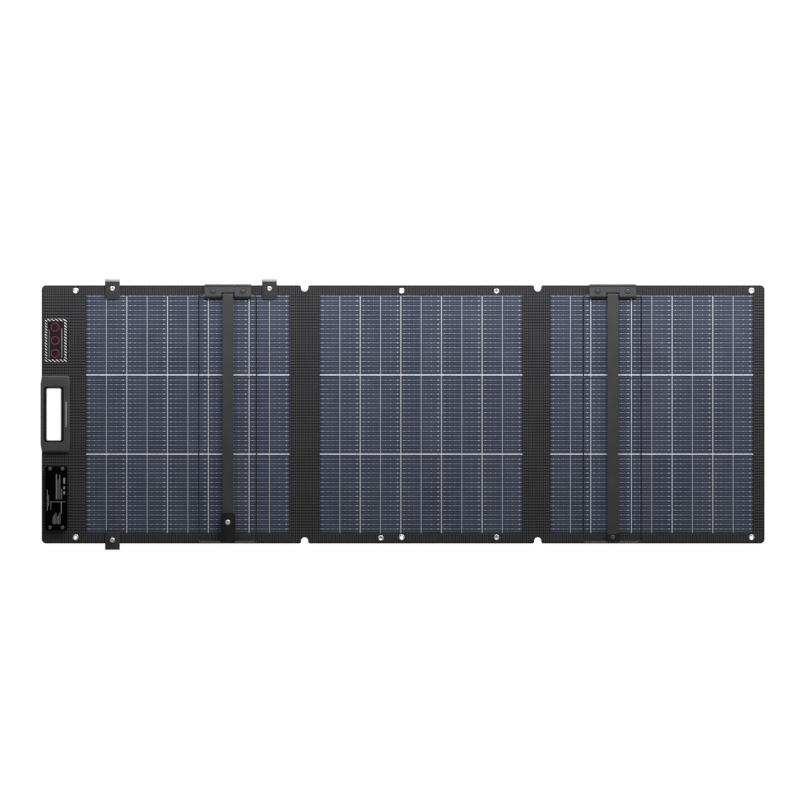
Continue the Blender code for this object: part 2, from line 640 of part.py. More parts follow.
def junction_base(frame):
    """An open tray with a screw post in each corner and a round cable port in one end."""
    x, y = grown(BOX_X, -1), grown(BOX_Y, -1)
    holes = [circle(*PASSAGE)] + [circle(px, py, 1.8, 8) for px, py in box_screws()]
    bm = plate(rectangle(x, y, BOX_CORNER - 1), TOP + GAP, BOX_WALL_TOP, holes)
    piece = add("junction_box_base", bm, "moulding", frame)
    cx, cy = sum(BOX_X) / 2, sum(BOX_Y) / 2
    wide, tall, near, far = 20.8, 64.2, 8.5, 56.5
    quarter = [(wide, far), (near, far), (near, tall)]
    corners = [(sx * px, sy * py) for sx, sy in ((1, 1), (-1, 1), (-1, -1), (1, -1))
               for px, py in (quarter if sx == sy else quarter[::-1])]
    cavity = plate([(cx + px, cy + py) for px, py in corners], TOP + 1.8, BOX_WALL_TOP + 1)
    combine(piece, cavity, "DIFFERENCE")
    port = turned([(0, -3), (2.9, -3), (2.9, 3), (0, 3)], (cx, BOX_Y[1] - 1.5, GROMMET_Z), 12, "Y")
    combine(piece, port, "DIFFERENCE")


def junction_box(frame):
    junction_base(frame)
    cx, cy = sum(BOX_X) / 2, sum(BOX_Y) / 2
    lid = plate(rectangle(BOX_X, BOX_Y, BOX_CORNER), BOX_WALL_TOP + GAP, LID_TOP)
    piece = add("junction_box_lid", lid, "gloss_lid", frame)
    bore = [(0, 11), (1.8, 11), (1.8, 13.3), (4.2, 13.3), (4.2, LID_TOP + 1), (0, LID_TOP + 1)]
    cuts = bmesh.new()
    for x, y in box_screws():
        merged(cuts, turned(bore, (x, y, 0)))
    combine(piece, cuts, "DIFFERENCE")
    screw = [(0, 6.6), (1.4, 6.6), (1.4, 13.6), (3.9, 13.6), (3.9, 14.6), (3.0, 15.3),
             (1.3, 15.4), (0, 14.7)]
    for number, (x, y) in enumerate(box_screws(), 1):
        add(f"junction_screw_{number}", turned(screw, (x, y, 0)), "black_screw", frame, (x, y, 0))
    board = add("junction_board", block((cx - 16, cx + 16), (cy - 50, cy + 50), (7.0, 8.6)),
                "board", frame)
    parts = block((cx - 8, cx + 8), (cy + 22, cy + 40), (8.0, 11.2))
    block((cx - 12, cx - 4), (cy - 38, cy + 6), (8.0, 10.6), bm=parts)
    block((cx + 3, cx + 12), (cy - 30, cy - 4), (8.0, 11.0), bm=parts)
    combine(board, parts, "UNION")
    bush = [(1.9, -3.4), (2.6, -3.4), (2.6, 1.4), (3.4, 1.4), (3.1, 2.8), (1.9, 2.8)]
    at = (cx, BOX_Y[1] - 1.1, GROMMET_Z)
    add("cable_grommet", turned(bush, at, 12, "Y"), "rubber", frame, at)


# ------------------------------------------------------------------ assembly

def build():
    clear_scene()
    for name in COLOURS:
        MATERIALS[name] = make_material(name)
    middle = make_frame("frame_middle_panel", (0, 0, 0))
    left = make_frame("axis_fold_left", (FOLD_LEFT, 0, -AXIS_DEPTH_LEFT), middle)
    right = make_frame("axis_fold_right", (FOLD_RIGHT, 0, -AXIS_DEPTH_RIGHT), middle)
    for side, frame in (("left", left), ("middle", middle), ("right", right)):
        panel(side, frame)
    fold_web("fold_web_left_outer", FOLD_LEFT, -1, left)
    fold_web("fold_web_left_inner", FOLD_LEFT, 1, middle)
    fold_web("fold_web_right_inner", FOLD_RIGHT, -1, middle)
    fold_web("fold_web_right_outer", FOLD_RIGHT, 1, right)
    for name, (x, y) in STUDS.items():
        snap_stud(f"snap_stud_{name}", x, y, middle)
    for side, frame in (("left", left), ("right", right)):
        stand_bracket(side, frame)
        bracket_fixings(side, frame)
        leg = stand_leg(side, frame)
        if side == "left":
            keeper_strap(leg)
    for number in TABS:
        closure_tab(number, left)
    hand_grip(left)
    label = rectangle(LABEL_X, LABEL_Y, 2.0)
    add("label_plate", plate(label, TOP + GAP, TOP + GAP + LABEL_THICK), "label", left)
    junction_box(left)


MATERIALS = {}
build()
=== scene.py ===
import json
from math import asin, cos, degrees, pi, radians, sin, sqrt

import bmesh
import bpy
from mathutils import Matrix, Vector

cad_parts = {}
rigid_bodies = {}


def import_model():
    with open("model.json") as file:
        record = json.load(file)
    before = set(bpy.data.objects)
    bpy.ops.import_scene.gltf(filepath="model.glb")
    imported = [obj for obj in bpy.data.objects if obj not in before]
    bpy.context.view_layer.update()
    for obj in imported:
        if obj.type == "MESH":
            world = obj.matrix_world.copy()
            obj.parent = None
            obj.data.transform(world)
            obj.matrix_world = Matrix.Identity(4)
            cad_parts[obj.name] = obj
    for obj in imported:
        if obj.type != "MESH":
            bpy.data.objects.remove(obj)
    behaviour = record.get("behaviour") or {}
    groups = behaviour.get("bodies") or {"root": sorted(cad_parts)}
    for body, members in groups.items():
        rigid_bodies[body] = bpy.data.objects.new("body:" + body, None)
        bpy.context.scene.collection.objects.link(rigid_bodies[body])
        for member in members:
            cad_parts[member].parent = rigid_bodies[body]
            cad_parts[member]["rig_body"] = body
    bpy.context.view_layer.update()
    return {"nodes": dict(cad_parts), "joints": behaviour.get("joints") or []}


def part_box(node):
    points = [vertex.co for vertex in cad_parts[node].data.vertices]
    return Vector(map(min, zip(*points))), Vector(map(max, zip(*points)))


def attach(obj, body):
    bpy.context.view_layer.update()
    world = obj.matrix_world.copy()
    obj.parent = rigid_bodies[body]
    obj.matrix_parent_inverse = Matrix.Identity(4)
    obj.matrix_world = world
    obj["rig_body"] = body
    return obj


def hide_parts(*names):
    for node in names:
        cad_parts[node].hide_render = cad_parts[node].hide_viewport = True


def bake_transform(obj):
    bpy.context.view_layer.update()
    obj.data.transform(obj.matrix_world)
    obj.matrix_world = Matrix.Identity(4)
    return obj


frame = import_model()

# The looks of the folding solar blanket. It lies on its sun side, with its rear side up.
# Lengths are in millimetres in the CAD frame, and finish_piece() turns them into metres.

MM = 0.001
M = {}  # materials by name
SCENE = bpy.context.scene
SIDES = ("left", "middle", "right")
STAND_SIDES = ("left", "right")
FOLDS = {"left": ("left_panel", "middle_panel"), "right": ("middle_panel", "right_panel")}
STUDS = [f"snap_stud_{name}" for name in ("top_right", "bottom_right", "bottom_left")]


def span(node):
    """The lowest and highest corner of a CAD node."""
    low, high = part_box(node)
    return low / MM, high / MM


def middle_of(node):
    low, high = span(node)
    return (low + high) / 2


# ---- blanket
TOP = span("rear_skin_middle")[1].z
CORNER = 9.0
EDGE_ROUND = 0.4  # rounding along the welded outer edge
WELD = 2.6  # width of the smooth welded band along the outer edge
HEM, SIDE_HEM = 0.55, 0.25  # how far the soft hem stands out past the skins
HALF_HEIGHT = span("rear_skin_middle")[1].y + HEM
NOTCH_DEPTH, NOTCH_HALF, NOTCH_MOUTH_HALF = 13.0, 7.35, 11.5
NOTCH_SHOULDER = NOTCH_MOUTH_HALF - NOTCH_HALF
BARREL_HOLE, BARREL, EYELET_BORE = 4.6, 4.2, 3.1  # radii in the skins, the eyelets and studs

# ---- cell fields
FIELDS = {"left": (-666.5, -238.9), "middle": (-175.1, 250.9), "right": (309.8, 736.3)}
FIELD_HALF = 249.6
WINDOW_LAP, TOP_LAP = 0.2, 0.45  # how far the cover laps over the cell field
STRIPS, STRIP_GAP = 10, 1.3
GAP_HALVES = (0.93, 0.58)  # half widths of the gaps after an even and an odd number of strips
BUSBAR_PITCH, BUSBARS_IN_ROW, ROWS = 9.785, 17, 3
BUSBAR_WIDTH, ROW_RIBBON = 0.52, 1.8
ROW_PITCH, BUSBAR_DROP = 166.6, 1.25  # the busbars lie a little low in each row of cells
# solder pads: place along a pair of strips, length and width
PADS = ((6.4, 2.3, 1.2), (16.8, 1.9, 1.0), (27.2, 1.5, 0.8), (52.4, 1.6, 0.9), (63.4, 1.9, 1.0),
    (77.9, 2.6, 1.6))
LEAD_LENGTH, LEAD_WIDTH = 5.6, 0.75  # the wider start of each busbar

# ---- stands
HINGE_Y, HINGE_Z, KNUCKLE = 251.0, 9.2, 3.8
BAR_END, BAR_THICK, TONGUE_HALF = -251.2, 2.0, 9.0
BRACKET_FACE, BRACKET_LIP = 248.2, 271.8  # Y of the slope's upper end and of the lip's inside
BRACKET_CUT = 1.2  # cut off the bracket's two back corners
COVER_Y = 255.3  # front of the cover between the cheeks
SLOT_HALF, SLOT_GAP = 13.5, 0.35
WIRE, WIRE_BEND, WIRE_END = 1.5, 6.0, 42.3
WIRE_SHIFT = {"left": 0.8, "right": 1.2}  # how far each bail lies left of the CAD wire
CROSS_Y = 76.2
ROD_SET = 2.8  # how far the bottom rod lies below the CAD rod's place

# ---- straps
STRAP_CUT, STRAP_EDGE = 5.0, 0.3
STITCH_LENGTH, STITCH_WIDTH, STITCH_PITCH = 2.2, 0.5, 3.1

# ---- left end
GRIP_TAPER, GRIP_TAPER_LENGTH = 2.9, 17.0
HOLE_X, HOLE_Y, HOLE_CORNER = (-750.9, -718.7), (-55.7, 55.6), 4.0
INLAY_HALF_LENGTH, INLAY_HALF_WIDTH = 27.0, 1.5
LID_CORNER = 5.0
SCREW_SPOTS = [(x, y) for x in (-13.15, 13.15) for y in (-61.8, 61.8)]
# printed bars: from and to in X, then from and to in Y, from the middle of the lid
LID_BARS = [(-0.4, 1.2, -2.0, 51.0), (3.3, 4.3, -2.0, 40.0), (7.1, 8.1, -2.0, 50.0),
    (10.9, 11.9, -2.0, 20.0), (-19.1, -18.1, -26.0, 18.0), (-16.7, -15.7, -16.0, 6.0),
    (-11.0, 19.0, -7.8, -7.0), (-11.8, -11.0, -24.0, -7.0), (10.0, 11.4, -33.0, -7.8),
    (15.1, 18.5, 30.8, 43.2), (15.1, 18.5, 19.2, 24.8), (15.1, 18.5, 8.3, 14.7)]
LID_BARS += [(2.9 * i - 7.0, 2.9 * i - 6.0, -54.0, 4.0 * (i % 3) - 38.0) for i in range(6)]
LABEL_BARS = [(-745.6, -743.6, 118.6, 177.8), (-719.6, -716.4, 119.4, 180.6)]
LABEL_RINGS_X, LABEL_RINGS_Y = -732.2, (183.4, 155.6, 128.3)
HATCH_RIM, HATCH_SLANT = 5.1, (8.3, 6.0)

# ---- camera and light
VIEW_CENTRE, VIEW_WIDTH = (-6.6, 30.3), 1683.3
LENS, SENSOR = 400.0, 36.0
FLOOR_GLOW, FLOOR_REACH, FLOOR_Z = 0.96, 40000.0, -0.2
ZENITH_LIGHT, HORIZON_LIGHT = 0.2, 1.0


# ---- outlines

def arc(x, y, radius, start, end, steps):
    """Points on an arc, with angles in degrees, both ends included."""
    angles = [radians(start + (end - start) * i / steps) for i in range(steps + 1)]
    return [(x + radius * cos(a), y + radius * sin(a)) for a in angles]


def rounded(x, y, radius, steps=6):
    """A function that gives a round-cornered rectangle, drawn in by an inset."""
    def at(inset=0.0):
        r, made = max(radius - inset, 0.05), []
        left, right, low, high = (x[0] + inset + r, x[1] - inset - r, y[0] + inset + r, y[1] - inset - r)
        for px, py, turn in ((left, low, 180), (right, low, 270), (right, high, 0), (left, high, 90)):
            made += arc(px, py, r, turn, turn + 90, steps)
        return made
    return at


def round_hole(x, y, radius):
    return lambda inset: arc(x, y, radius - inset, 0, 360, 32)[:-1]


def hand_hole(wide_x, wide_y, radius):
    """The hand hole, widened in X and in Y."""
    return rounded((HOLE_X[0] - wide_x, HOLE_X[1] + wide_x), (HOLE_Y[0] - wide_y, HOLE_Y[1] + wide_y),
        radius)


def panel_outline(side):
    """A panel between its folds. Its edges draw in by the inset, but not along a fold."""
    low, high = span(f"rear_skin_{side}")
    left, right, steps = low.x, high.x, 8
    whole = rounded((left - SIDE_HEM, right + SIDE_HEM), (-HALF_HEIGHT, HALF_HEIGHT), CORNER, steps)

    def at(inset=0.0):
        half, spots, corner = HALF_HEIGHT - inset, whole(inset), steps + 1
        if side == "left":
            return spots[:corner] + [(right, -half), (right, half)] + spots[3 * corner:]
        if side == "right":
            return spots[corner:3 * corner] + [(left, half), (left, -half)]
        return [(left, -half), (right, -half), (right, half), (left, half)]
    return at


def grip_outline(inset=0.0):
    """The grip's outline. Its corners taper in, and each is rounded over a short cut."""
    low, high = span("grip_rear_shell")
    x, y = (low.x + inset, high.x - inset), (low.y + inset, high.y - inset)
    run, step, cut, steps = GRIP_TAPER_LENGTH, GRIP_TAPER, 2.2, 4
    corners = [(x[0] + step, y[0]), (x[1] - step, y[0]), (x[1], y[0] + run), (x[1], y[1] - run),
        (x[1] - step, y[1]), (x[0] + step, y[1]), (x[0], y[1] - run), (x[0], y[0] + run)]
    corners, made = [*map(Vector, corners)], []
    for before, corner, after in zip(corners[-1:] + corners, corners, corners[1:] + corners[:1]):
        start = corner + (before - corner).normalized() * cut
        end = corner + (after - corner).normalized() * cut
        for t in (k / steps for k in range(steps + 1)):
            made.append(tuple(start * (1 - t) ** 2 + corner * 2 * t * (1 - t) + end * t ** 2))
    return made


def from_rim(radius, level, *spots):
    """Profile points given by their distance from a rim and from a level."""
    return [(radius + out, level + up) for out, up in spots]


# ---- solids

def ring(bm, outline, z):
    return [bm.verts.new((x, y, z)) for x, y in outline]


def wall(bm, *rings, index=0):
    for low, high in zip(rings, rings[1:]):
        for i in range(len(low)):
            bm.faces.new((low[i - 1], low[i], high[i], high[i - 1])).material_index = index


def close_ends(bm, rings):
    bm.faces.new(rings[0])
    bm.faces.new(rings[-1])
    return bm


def cap(bm, *rings):
    edges = [bm.edges.get((r[i - 1], r[i])) for r in rings for i in range(len(r))]
    bmesh.ops.triangle_fill(bm, use_beauty=True, edges=edges)


def top_edge(low, high, radius, steps=4):
    """(inset, z) pairs of a wall that is rounded only at its upper edge."""
    turns = [radians(90) * k / steps for k in range(steps + 1)]
    return [(0, low)] + [(radius * (1 - cos(t)), high - radius * (1 - sin(t))) for t in turns]


def round_edge(low, high, radius, steps=3):
    """(inset, z) pairs of a wall that is rounded at its lower and its upper edge."""
    above = top_edge(low, high, radius, steps)[1:]
    return [(inset, low + high - z) for inset, z in reversed(above)] + above


def solid(outer, edge, holes=(), wells=(), edge_index=0):
    """A flat closed solid with rounded edges, through holes and blind wells.

    outer and each hole or well is (outline function, (inset, z) pairs from the bottom up).
    """
    bm = bmesh.new()
    rings = [ring(bm, outer(inset), z) for inset, z in edge]
    wall(bm, *rings, index=edge_index)
    bottoms, tops = [rings[0]], [rings[-1]]
    for number, (outline, sides) in enumerate((*holes, *wells)):
        inner = [ring(bm, outline(inset), z) for inset, z in sides]
        wall(bm, *inner)
        if number < len(holes):
            bottoms.append(inner[0])
        else:
            bm.faces.new(inner[0])
        tops.append(inner[-1])
    cap(bm, *bottoms)
    cap(bm, *tops)
    return bm


def slab(bm, outline, z):
    """Adds a plain body with upright sides."""
    rings = [ring(bm, outline, level) for level in z]
    wall(bm, *rings)
    close_ends(bm, rings)


def block(bm, x, y, z):
    """Adds a plain rectangular body."""
    slab(bm, [(x[0], y[0]), (x[1], y[0]), (x[1], y[1]), (x[0], y[1])], z)


def prism_x(profile, x, bm=None):
    """A solid with a profile of (y, z) points, from x[0] to x[1]."""
    bm = bm or bmesh.new()
    ends = [[bm.verts.new((spot, y, z)) for y, z in profile] for spot in x]
    wall(bm, *ends)
    return close_ends(bm, ends)


def lathe(profile, x, y, steps=40, bm=None):
    """A turned solid. Profile entries are (radius, z), or (width, z, "hex") for a hexagon."""
    bm = bm or bmesh.new()
    rings = []
    for radius, z, *shape in profile:
        if not radius:
            rings.append([bm.verts.new((x, y, z))])
            continue
        spots = []
        for i in range(steps):
            turn = 2 * pi * i / steps
            reach = radius / cos(turn % (pi / 3) - pi / 6) if shape else radius
            spots.append(bm.verts.new((x + reach * cos(turn), y + reach * sin(turn), z)))
        rings.append(spots)
    if profile[0][0] and profile[-1][0]:
        rings.append(rings[0])
    for one, other in zip(rings, rings[1:]):
        for i in range(steps):
            corners = one if len(one) == 1 else [one[i - 1], one[i]]
            bm.faces.new(corners + (other if len(other) == 1 else [other[i], other[i - 1]]))
    return bm


def tube(path, radius, sides=14, bm=None):
    """A round tube along a path of points, with closed ends."""
    bm = bm or bmesh.new()
    path, up = [*map(Vector, path)], Vector((0, 0, 1))
    turns = [2 * pi * k / sides for k in range(sides)]
    rings = []
    for i, spot in enumerate(path):
        along = (path[min(i + 1, len(path) - 1)] - path[max(i - 1, 0)]).normalized()
        across = up.cross(along).normalized()
        rings.append([bm.verts.new(spot + (across * cos(t) + up * sin(t)) * radius) for t in turns])
    wall(bm, *rings)
    return close_ends(bm, rings)


# ---- pieces

def metre_mesh(name, bm):
    """A mesh in metres, made of a bmesh in millimetres."""
    bmesh.ops.recalc_face_normals(bm, faces=bm.faces)
    bmesh.ops.scale(bm, verts=bm.verts, vec=(MM, MM, MM))
    mesh = bpy.data.meshes.new(name)
    bm.to_mesh(mesh)
    bm.free()
    return mesh


def add_object(name, data):
    made = bpy.data.objects.new(name, data)
    SCENE.collection.objects.link(made)
    return made


def add_bevel(piece, width, segments, angle):
    step = piece.modifiers.new("Bevel", "BEVEL")
    step.width, step.segments = width * MM, segments
    step.limit_method, step.angle_limit = "ANGLE", radians(angle)
    return step


def finish_piece(name, bm, materials, body=None, replaces=(), bevel=0.0, place=lambda x,
        y: (x * MM, y * MM), sharp=38):
    """Turns a bmesh in millimetres into a piece that rides on a body.

    Its UV map is in metres, or is what `place` makes of x and y in millimetres.
    """
    mesh = metre_mesh(name, bm)
    mesh.shade_smooth()
    mesh.set_sharp_from_angle(angle=radians(sharp))
    layer = mesh.uv_layers.new(name="flat")
    for loop in mesh.loops:
        spot = mesh.vertices[loop.vertex_index].co
        layer.data[loop.index].uv = place(spot.x / MM, spot.y / MM)
    made = add_object(name, mesh)
    for material in [materials] if isinstance(materials, str) else materials:
        mesh.materials.append(M[material])
    if bevel:
        add_bevel(made, bevel, 3, 35).harden_normals = True
    if replaces:
        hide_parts(*replaces)
    if body:
        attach(made, body)
    return made


# ---- materials

def feed(node, socket, value):
    """Links a socket to a node's input, or sets the input's value."""
    if isinstance(value, bpy.types.NodeSocket):
        node.id_data.links.new(value, node.inputs[socket])
    else:
        node.inputs[socket].default_value = value


def add_node(tree, kind, *values, **named):
    """A new node, with values or sockets for its first inputs and for named ones."""
    made = tree.nodes.new(f"ShaderNode{kind}")
    for socket, value in (*enumerate(values), *named.items()):
        feed(made, socket, value)
    return made


def ramp_node(tree, *values):
    made = add_node(tree, "MapRange", *values)
    made.interpolation_type = "SMOOTHSTEP"
    return made.outputs[0]


class Shader:
    """A material with a Principled BSDF, and short calls that build its nodes."""

    def __init__(self, name, roughness=0.5, metallic=0.0, specular=0.5, **constants):
        M[name] = bpy.data.materials.new(name)
        M[name].use_nodes = True
        self.tree = M[name].node_tree
        self.shader = self.tree.nodes["Principled BSDF"]
        constants.update(Roughness=roughness, Metallic=metallic, Specular_IOR_Level=specular)
        for socket, value in constants.items():
            feed(self.shader, socket.replace("_", " "), value)

    def node(self, kind, *values, **named):
        return add_node(self.tree, kind, *values, **named)

    def math(self, operation, *values):
        node = self.node("Math", *values)
        node.operation = operation
        return node.outputs[0]

    def scaled(self, value, by, plus=0.0):
        return self.math("MULTIPLY_ADD", value, by, plus)

    def total(self, made, *parts):
        """Adds (value, weight) pairs to a first number or socket."""
        for part in parts:
            made = self.scaled(*part, made)
        return made

    def smooth(self, value, low, high, to_low=0.0, to_high=1.0):
        """Ramps from to_low to to_high while the value goes from low to high."""
        return ramp_node(self.tree, value, low, high, to_low, to_high)

    def mix(self, factor, a, b):
        node = self.node("Mix", factor)
        node.data_type = "RGBA"
        for i, value in ((6, a), (7, b)):
            feed(node, i, (*value, 1) if isinstance(value, tuple) else value)
        return node.outputs[2]

    def flat(self):
        """The flat UV map as (u, v) sockets, and as one vector."""
        node = self.node("UVMap")
        node.uv_map = "flat"
        parts = self.node("SeparateXYZ", node.outputs[0])
        return parts.outputs[0], parts.outputs[1], node.outputs[0]

    def where(self):
        """Object coordinates in metres."""
        return self.node("TexCoord").outputs["Object"]

    def noise(self, where, size, detail=3.0, roughness=0.55):
        """Noise between 0 and 1, with features of about `size` millimetres."""
        return self.node("TexNoise", where, Scale=1 / (size * MM), Detail=detail,
            Roughness=roughness).outputs[0]

    def cells(self, where, size, randomness=1.0):
        return self.node("TexVoronoi", where, Scale=1 / (size * MM),
            Randomness=randomness).outputs["Distance"]

    def wave(self, value, pitch, shift=0.0):
        """A sine between -1 and 1 with a pitch in millimetres, of a value in metres."""
        return self.math("SINE", self.scaled(value, 2 * pi / (pitch * MM), shift))

    def bump(self, height, distance, strength=1.0):
        """Bumps whose height runs over `distance` millimetres."""
        node = self.node("Bump", Strength=strength, Distance=distance * MM, Height=height)
        feed(self.shader, "Normal", node.outputs[0])

    def colour(self, factor, dark, light):
        feed(self.shader, "Base Color", self.mix(factor, dark, light))

    def rough(self, value, by, plus):
        feed(self.shader, "Roughness", self.scaled(value, by, plus))


def border_cloth():
    """Dobby-woven polyester: rows of raised floats over a fine basket weave."""
    s = Shader("border_cloth", 0.74, specular=0.13, Sheen_Weight=0.02, Sheen_Roughness=0.45)
    u, v, where = s.flat()
    rows = s.total(s.wave(v, 5.9), (s.wave(v, 6.25), 0.6))
    floats = s.total(0, (s.wave(u, 4.42), 1.3), (s.wave(u, 7.03), 0.5))
    basket = s.math("MULTIPLY", s.wave(u, 1.73), s.wave(v, 1.5))
    wear, grain = s.noise(where, 60, 4), s.noise(where, 0.9, 2)
    light = s.total(0.2, (rows, 0.36), (floats, 0.21), (basket, 0.1), (wear, 0.3), (grain, 0.3))
    s.colour(light, (0.003, 0.003, 0.0034), (0.06, 0.06, 0.0634))
    s.rough(wear, 0.16, 0.64)
    s.bump(s.total(0.5, (rows, 0.25), (floats, 0.12), (basket, 0.3), (grain, 0.25)), 0.2, 0.9)


def cell_surface():
    """Quarter-cut cells under a matt film. Its UV map counts strips and rows."""
    s = Shader("cell_surface", 0.42, specular=0.05, Coat_Weight=0.03, Coat_Roughness=0.3)
    u, v, _ = s.flat()
    spot = s.where()
    x, y, _ = s.node("SeparateXYZ", spot).outputs
    strip, row = s.math("FLOOR", u), s.math("FLOOR", v)
    tint = s.node("TexWhiteNoise", s.node("CombineXYZ", strip, row).outputs[0])
    across = s.math("FRACT", u)
    odd = s.math("MODULO", strip, 2.0)
    left_end = s.math("MULTIPLY", s.smooth(across, 0.02, 0.062, 1.0, 0.0), s.scaled(odd, -0.45, 1.0))
    right_end = s.math("MULTIPLY", s.smooth(across, 0.905, 0.945), s.scaled(odd, 0.45, 0.55))
    dark_ends = s.math("MAXIMUM", left_end, right_end)
    fingers = s.math("ADD", s.wave(x, 1.32), s.wave(x, 4.2))
    half_pitch = BUSBAR_PITCH / 2
    bands = s.wave(y, half_pitch, pi / 2 - 2 * pi * (FIELD_HALF - BUSBAR_DROP) / half_pitch)
    grain, cloud = s.noise(spot, 1.1, 4, 0.7), s.noise(spot, 45, 3)
    shade = s.total(0, (grain, 0.6), (cloud, 0.3), (fingers, 0.06), (bands, 0.26),
        (tint.outputs["Value"], 0.1))
    body = s.mix(s.smooth(shade, 0.0, 1.0), (0.015, 0.019, 0.036), (0.086, 0.101, 0.148))
    s.colour(s.scaled(dark_ends, 0.8), body, (0.006, 0.008, 0.02))
    s.rough(grain, 0.2, 0.34)
    s.bump(s.total(s.cells(spot, 0.9), (fingers, 0.15)), 0.05, 0.5)


def grained(name, dark, light, grain, rough, bump, relief=None, ramp=None, cloud=None, **settings):
    """A mottled colour, an uneven gloss and a fine relief.

    grain, relief and cloud give a noise's size and detail. rough scales the grain into a
    roughness, or ramps it with four numbers, and bump is a distance and a strength.
    """
    s = Shader(name, **settings)
    where = s.where()
    mottle = s.noise(where, *grain)
    shade = s.total(mottle, (s.noise(where, *cloud), 0.4)) if cloud else mottle
    s.colour(s.smooth(shade, *ramp) if ramp else shade, dark, light)
    if rough and len(rough) == 4:
        feed(s.shader, "Roughness", s.smooth(mottle, *rough))
    elif rough:
        s.rough(mottle, *rough)
    s.bump(s.noise(where, *relief) if relief else mottle, *bump)


def tinned_ribbon(name, dark, light):
    grained(name, dark, light, (3.0, 3), (0.3, 0.3), (0.03, 0.6), (0.8, 2), roughness=0.42, metallic=0.05,
        specular=0.4)


def metal(name, dark, light, roughness, metallic, scratch=0.4):
    """Plated or coated metal with faint scratches and smears."""
    grained(name, dark, light, (6, 4), (0.16, roughness - 0.06), (0.01, scratch), (0.35, 2),
        roughness=roughness, metallic=metallic)


def webbing(name, dark, light, rib=1.5):
    """Close-woven strap: ribs across, with a fine herringbone in them."""
    s = Shader(name, 0.8, specular=0.18, Sheen_Weight=0.05, Sheen_Roughness=0.4)
    u, v, where = s.flat()
    slant = s.wave(s.total(u, (v, 0.6)), rib * 0.8)
    weave = s.total(0.5, (s.wave(v, rib), 0.28), (slant, 0.22))
    fuzz, worn = s.noise(where, 0.7, 3), s.noise(where, 14, 3)
    shade = s.total(weave, (fuzz, 0.4), (worn, 0.3))
    s.colour(s.smooth(shade, 0.3, 1.4), dark, light)
    s.rough(worn, 0.15, 0.72)
    s.bump(s.total(weave, (fuzz, 0.3)), 0.16, 0.9)


def moulded(name, dark, light, roughness=0.5, texture=0.55, specular=0.35):
    """Injection moulded plastic with a fine spark-eroded texture."""
    s = Shader(name, roughness, specular=specular)
    where = s.where()
    pits, cloud = s.noise(where, texture, 4, 0.65), s.noise(where, 22, 3)
    mottle = s.total(0, (pits, 0.7), (cloud, 0.5))
    s.colour(s.smooth(mottle, 0.3, 0.9), dark, light)
    s.rough(cloud, 0.16, roughness - 0.08)
    s.bump(pits, 0.05, 0.8)


def circuit_board():
    s = Shader("circuit_board", 0.4)
    tracks = s.cells(s.where(), 3.0, 0.6)
    s.colour(s.smooth(tracks, 0.2, 0.35), (0.05, 0.22, 0.09), (0.015, 0.09, 0.035))
    s.bump(tracks, 0.03, 0.6)


def hatched_film():
    """A plain plate with a slanted black and white rim. Its UV map is in metres."""
    s = Shader("hatched_film", 0.45, specular=0.25)
    u, v, where = s.flat()
    low, high = span("label_plate")
    inside = [s.math("MINIMUM", s.math("SUBTRACT", way, start * MM), s.math("SUBTRACT", end * MM, way))
        for way, start, end in ((u, low.x + 0.3, high.x - 2.2), (v, low.y, high.y))]
    inside = s.math("MINIMUM", *inside)
    stripe = s.math("FRACT", s.total(0, *zip((u, v), (1 / (pitch * MM) for pitch in HATCH_SLANT))))
    white = s.math("MULTIPLY", s.smooth(stripe, 0.1, 0.16), s.smooth(stripe, 0.44, 0.5, 1.0, 0.0))
    in_rim = s.math("MULTIPLY", s.smooth(inside, HATCH_RIM * MM, (HATCH_RIM + 0.3) * MM, 1.0, 0.0),
        s.smooth(inside, 0.4 * MM, 0.7 * MM))
    rub = s.noise(where, 2.0, 3)
    ink = s.mix(rub, (0.68, 0.67, 0.67), (0.86, 0.86, 0.86))
    s.colour(s.math("MULTIPLY", white, in_rim), (0.01, 0.008, 0.008), ink)
    s.rough(rub, 0.2, 0.35)
    s.bump(rub, 0.01, 0.4)


def pale_floor():
    s = Shader("pale_floor", 0.9, specular=0.1, Emission_Color=(1, 1, 1, 1), Emission_Strength=FLOOR_GLOW)
    s.colour(s.noise(s.where(), 900, 3), (0.11, 0.11, 0.11), (0.13, 0.13, 0.13))


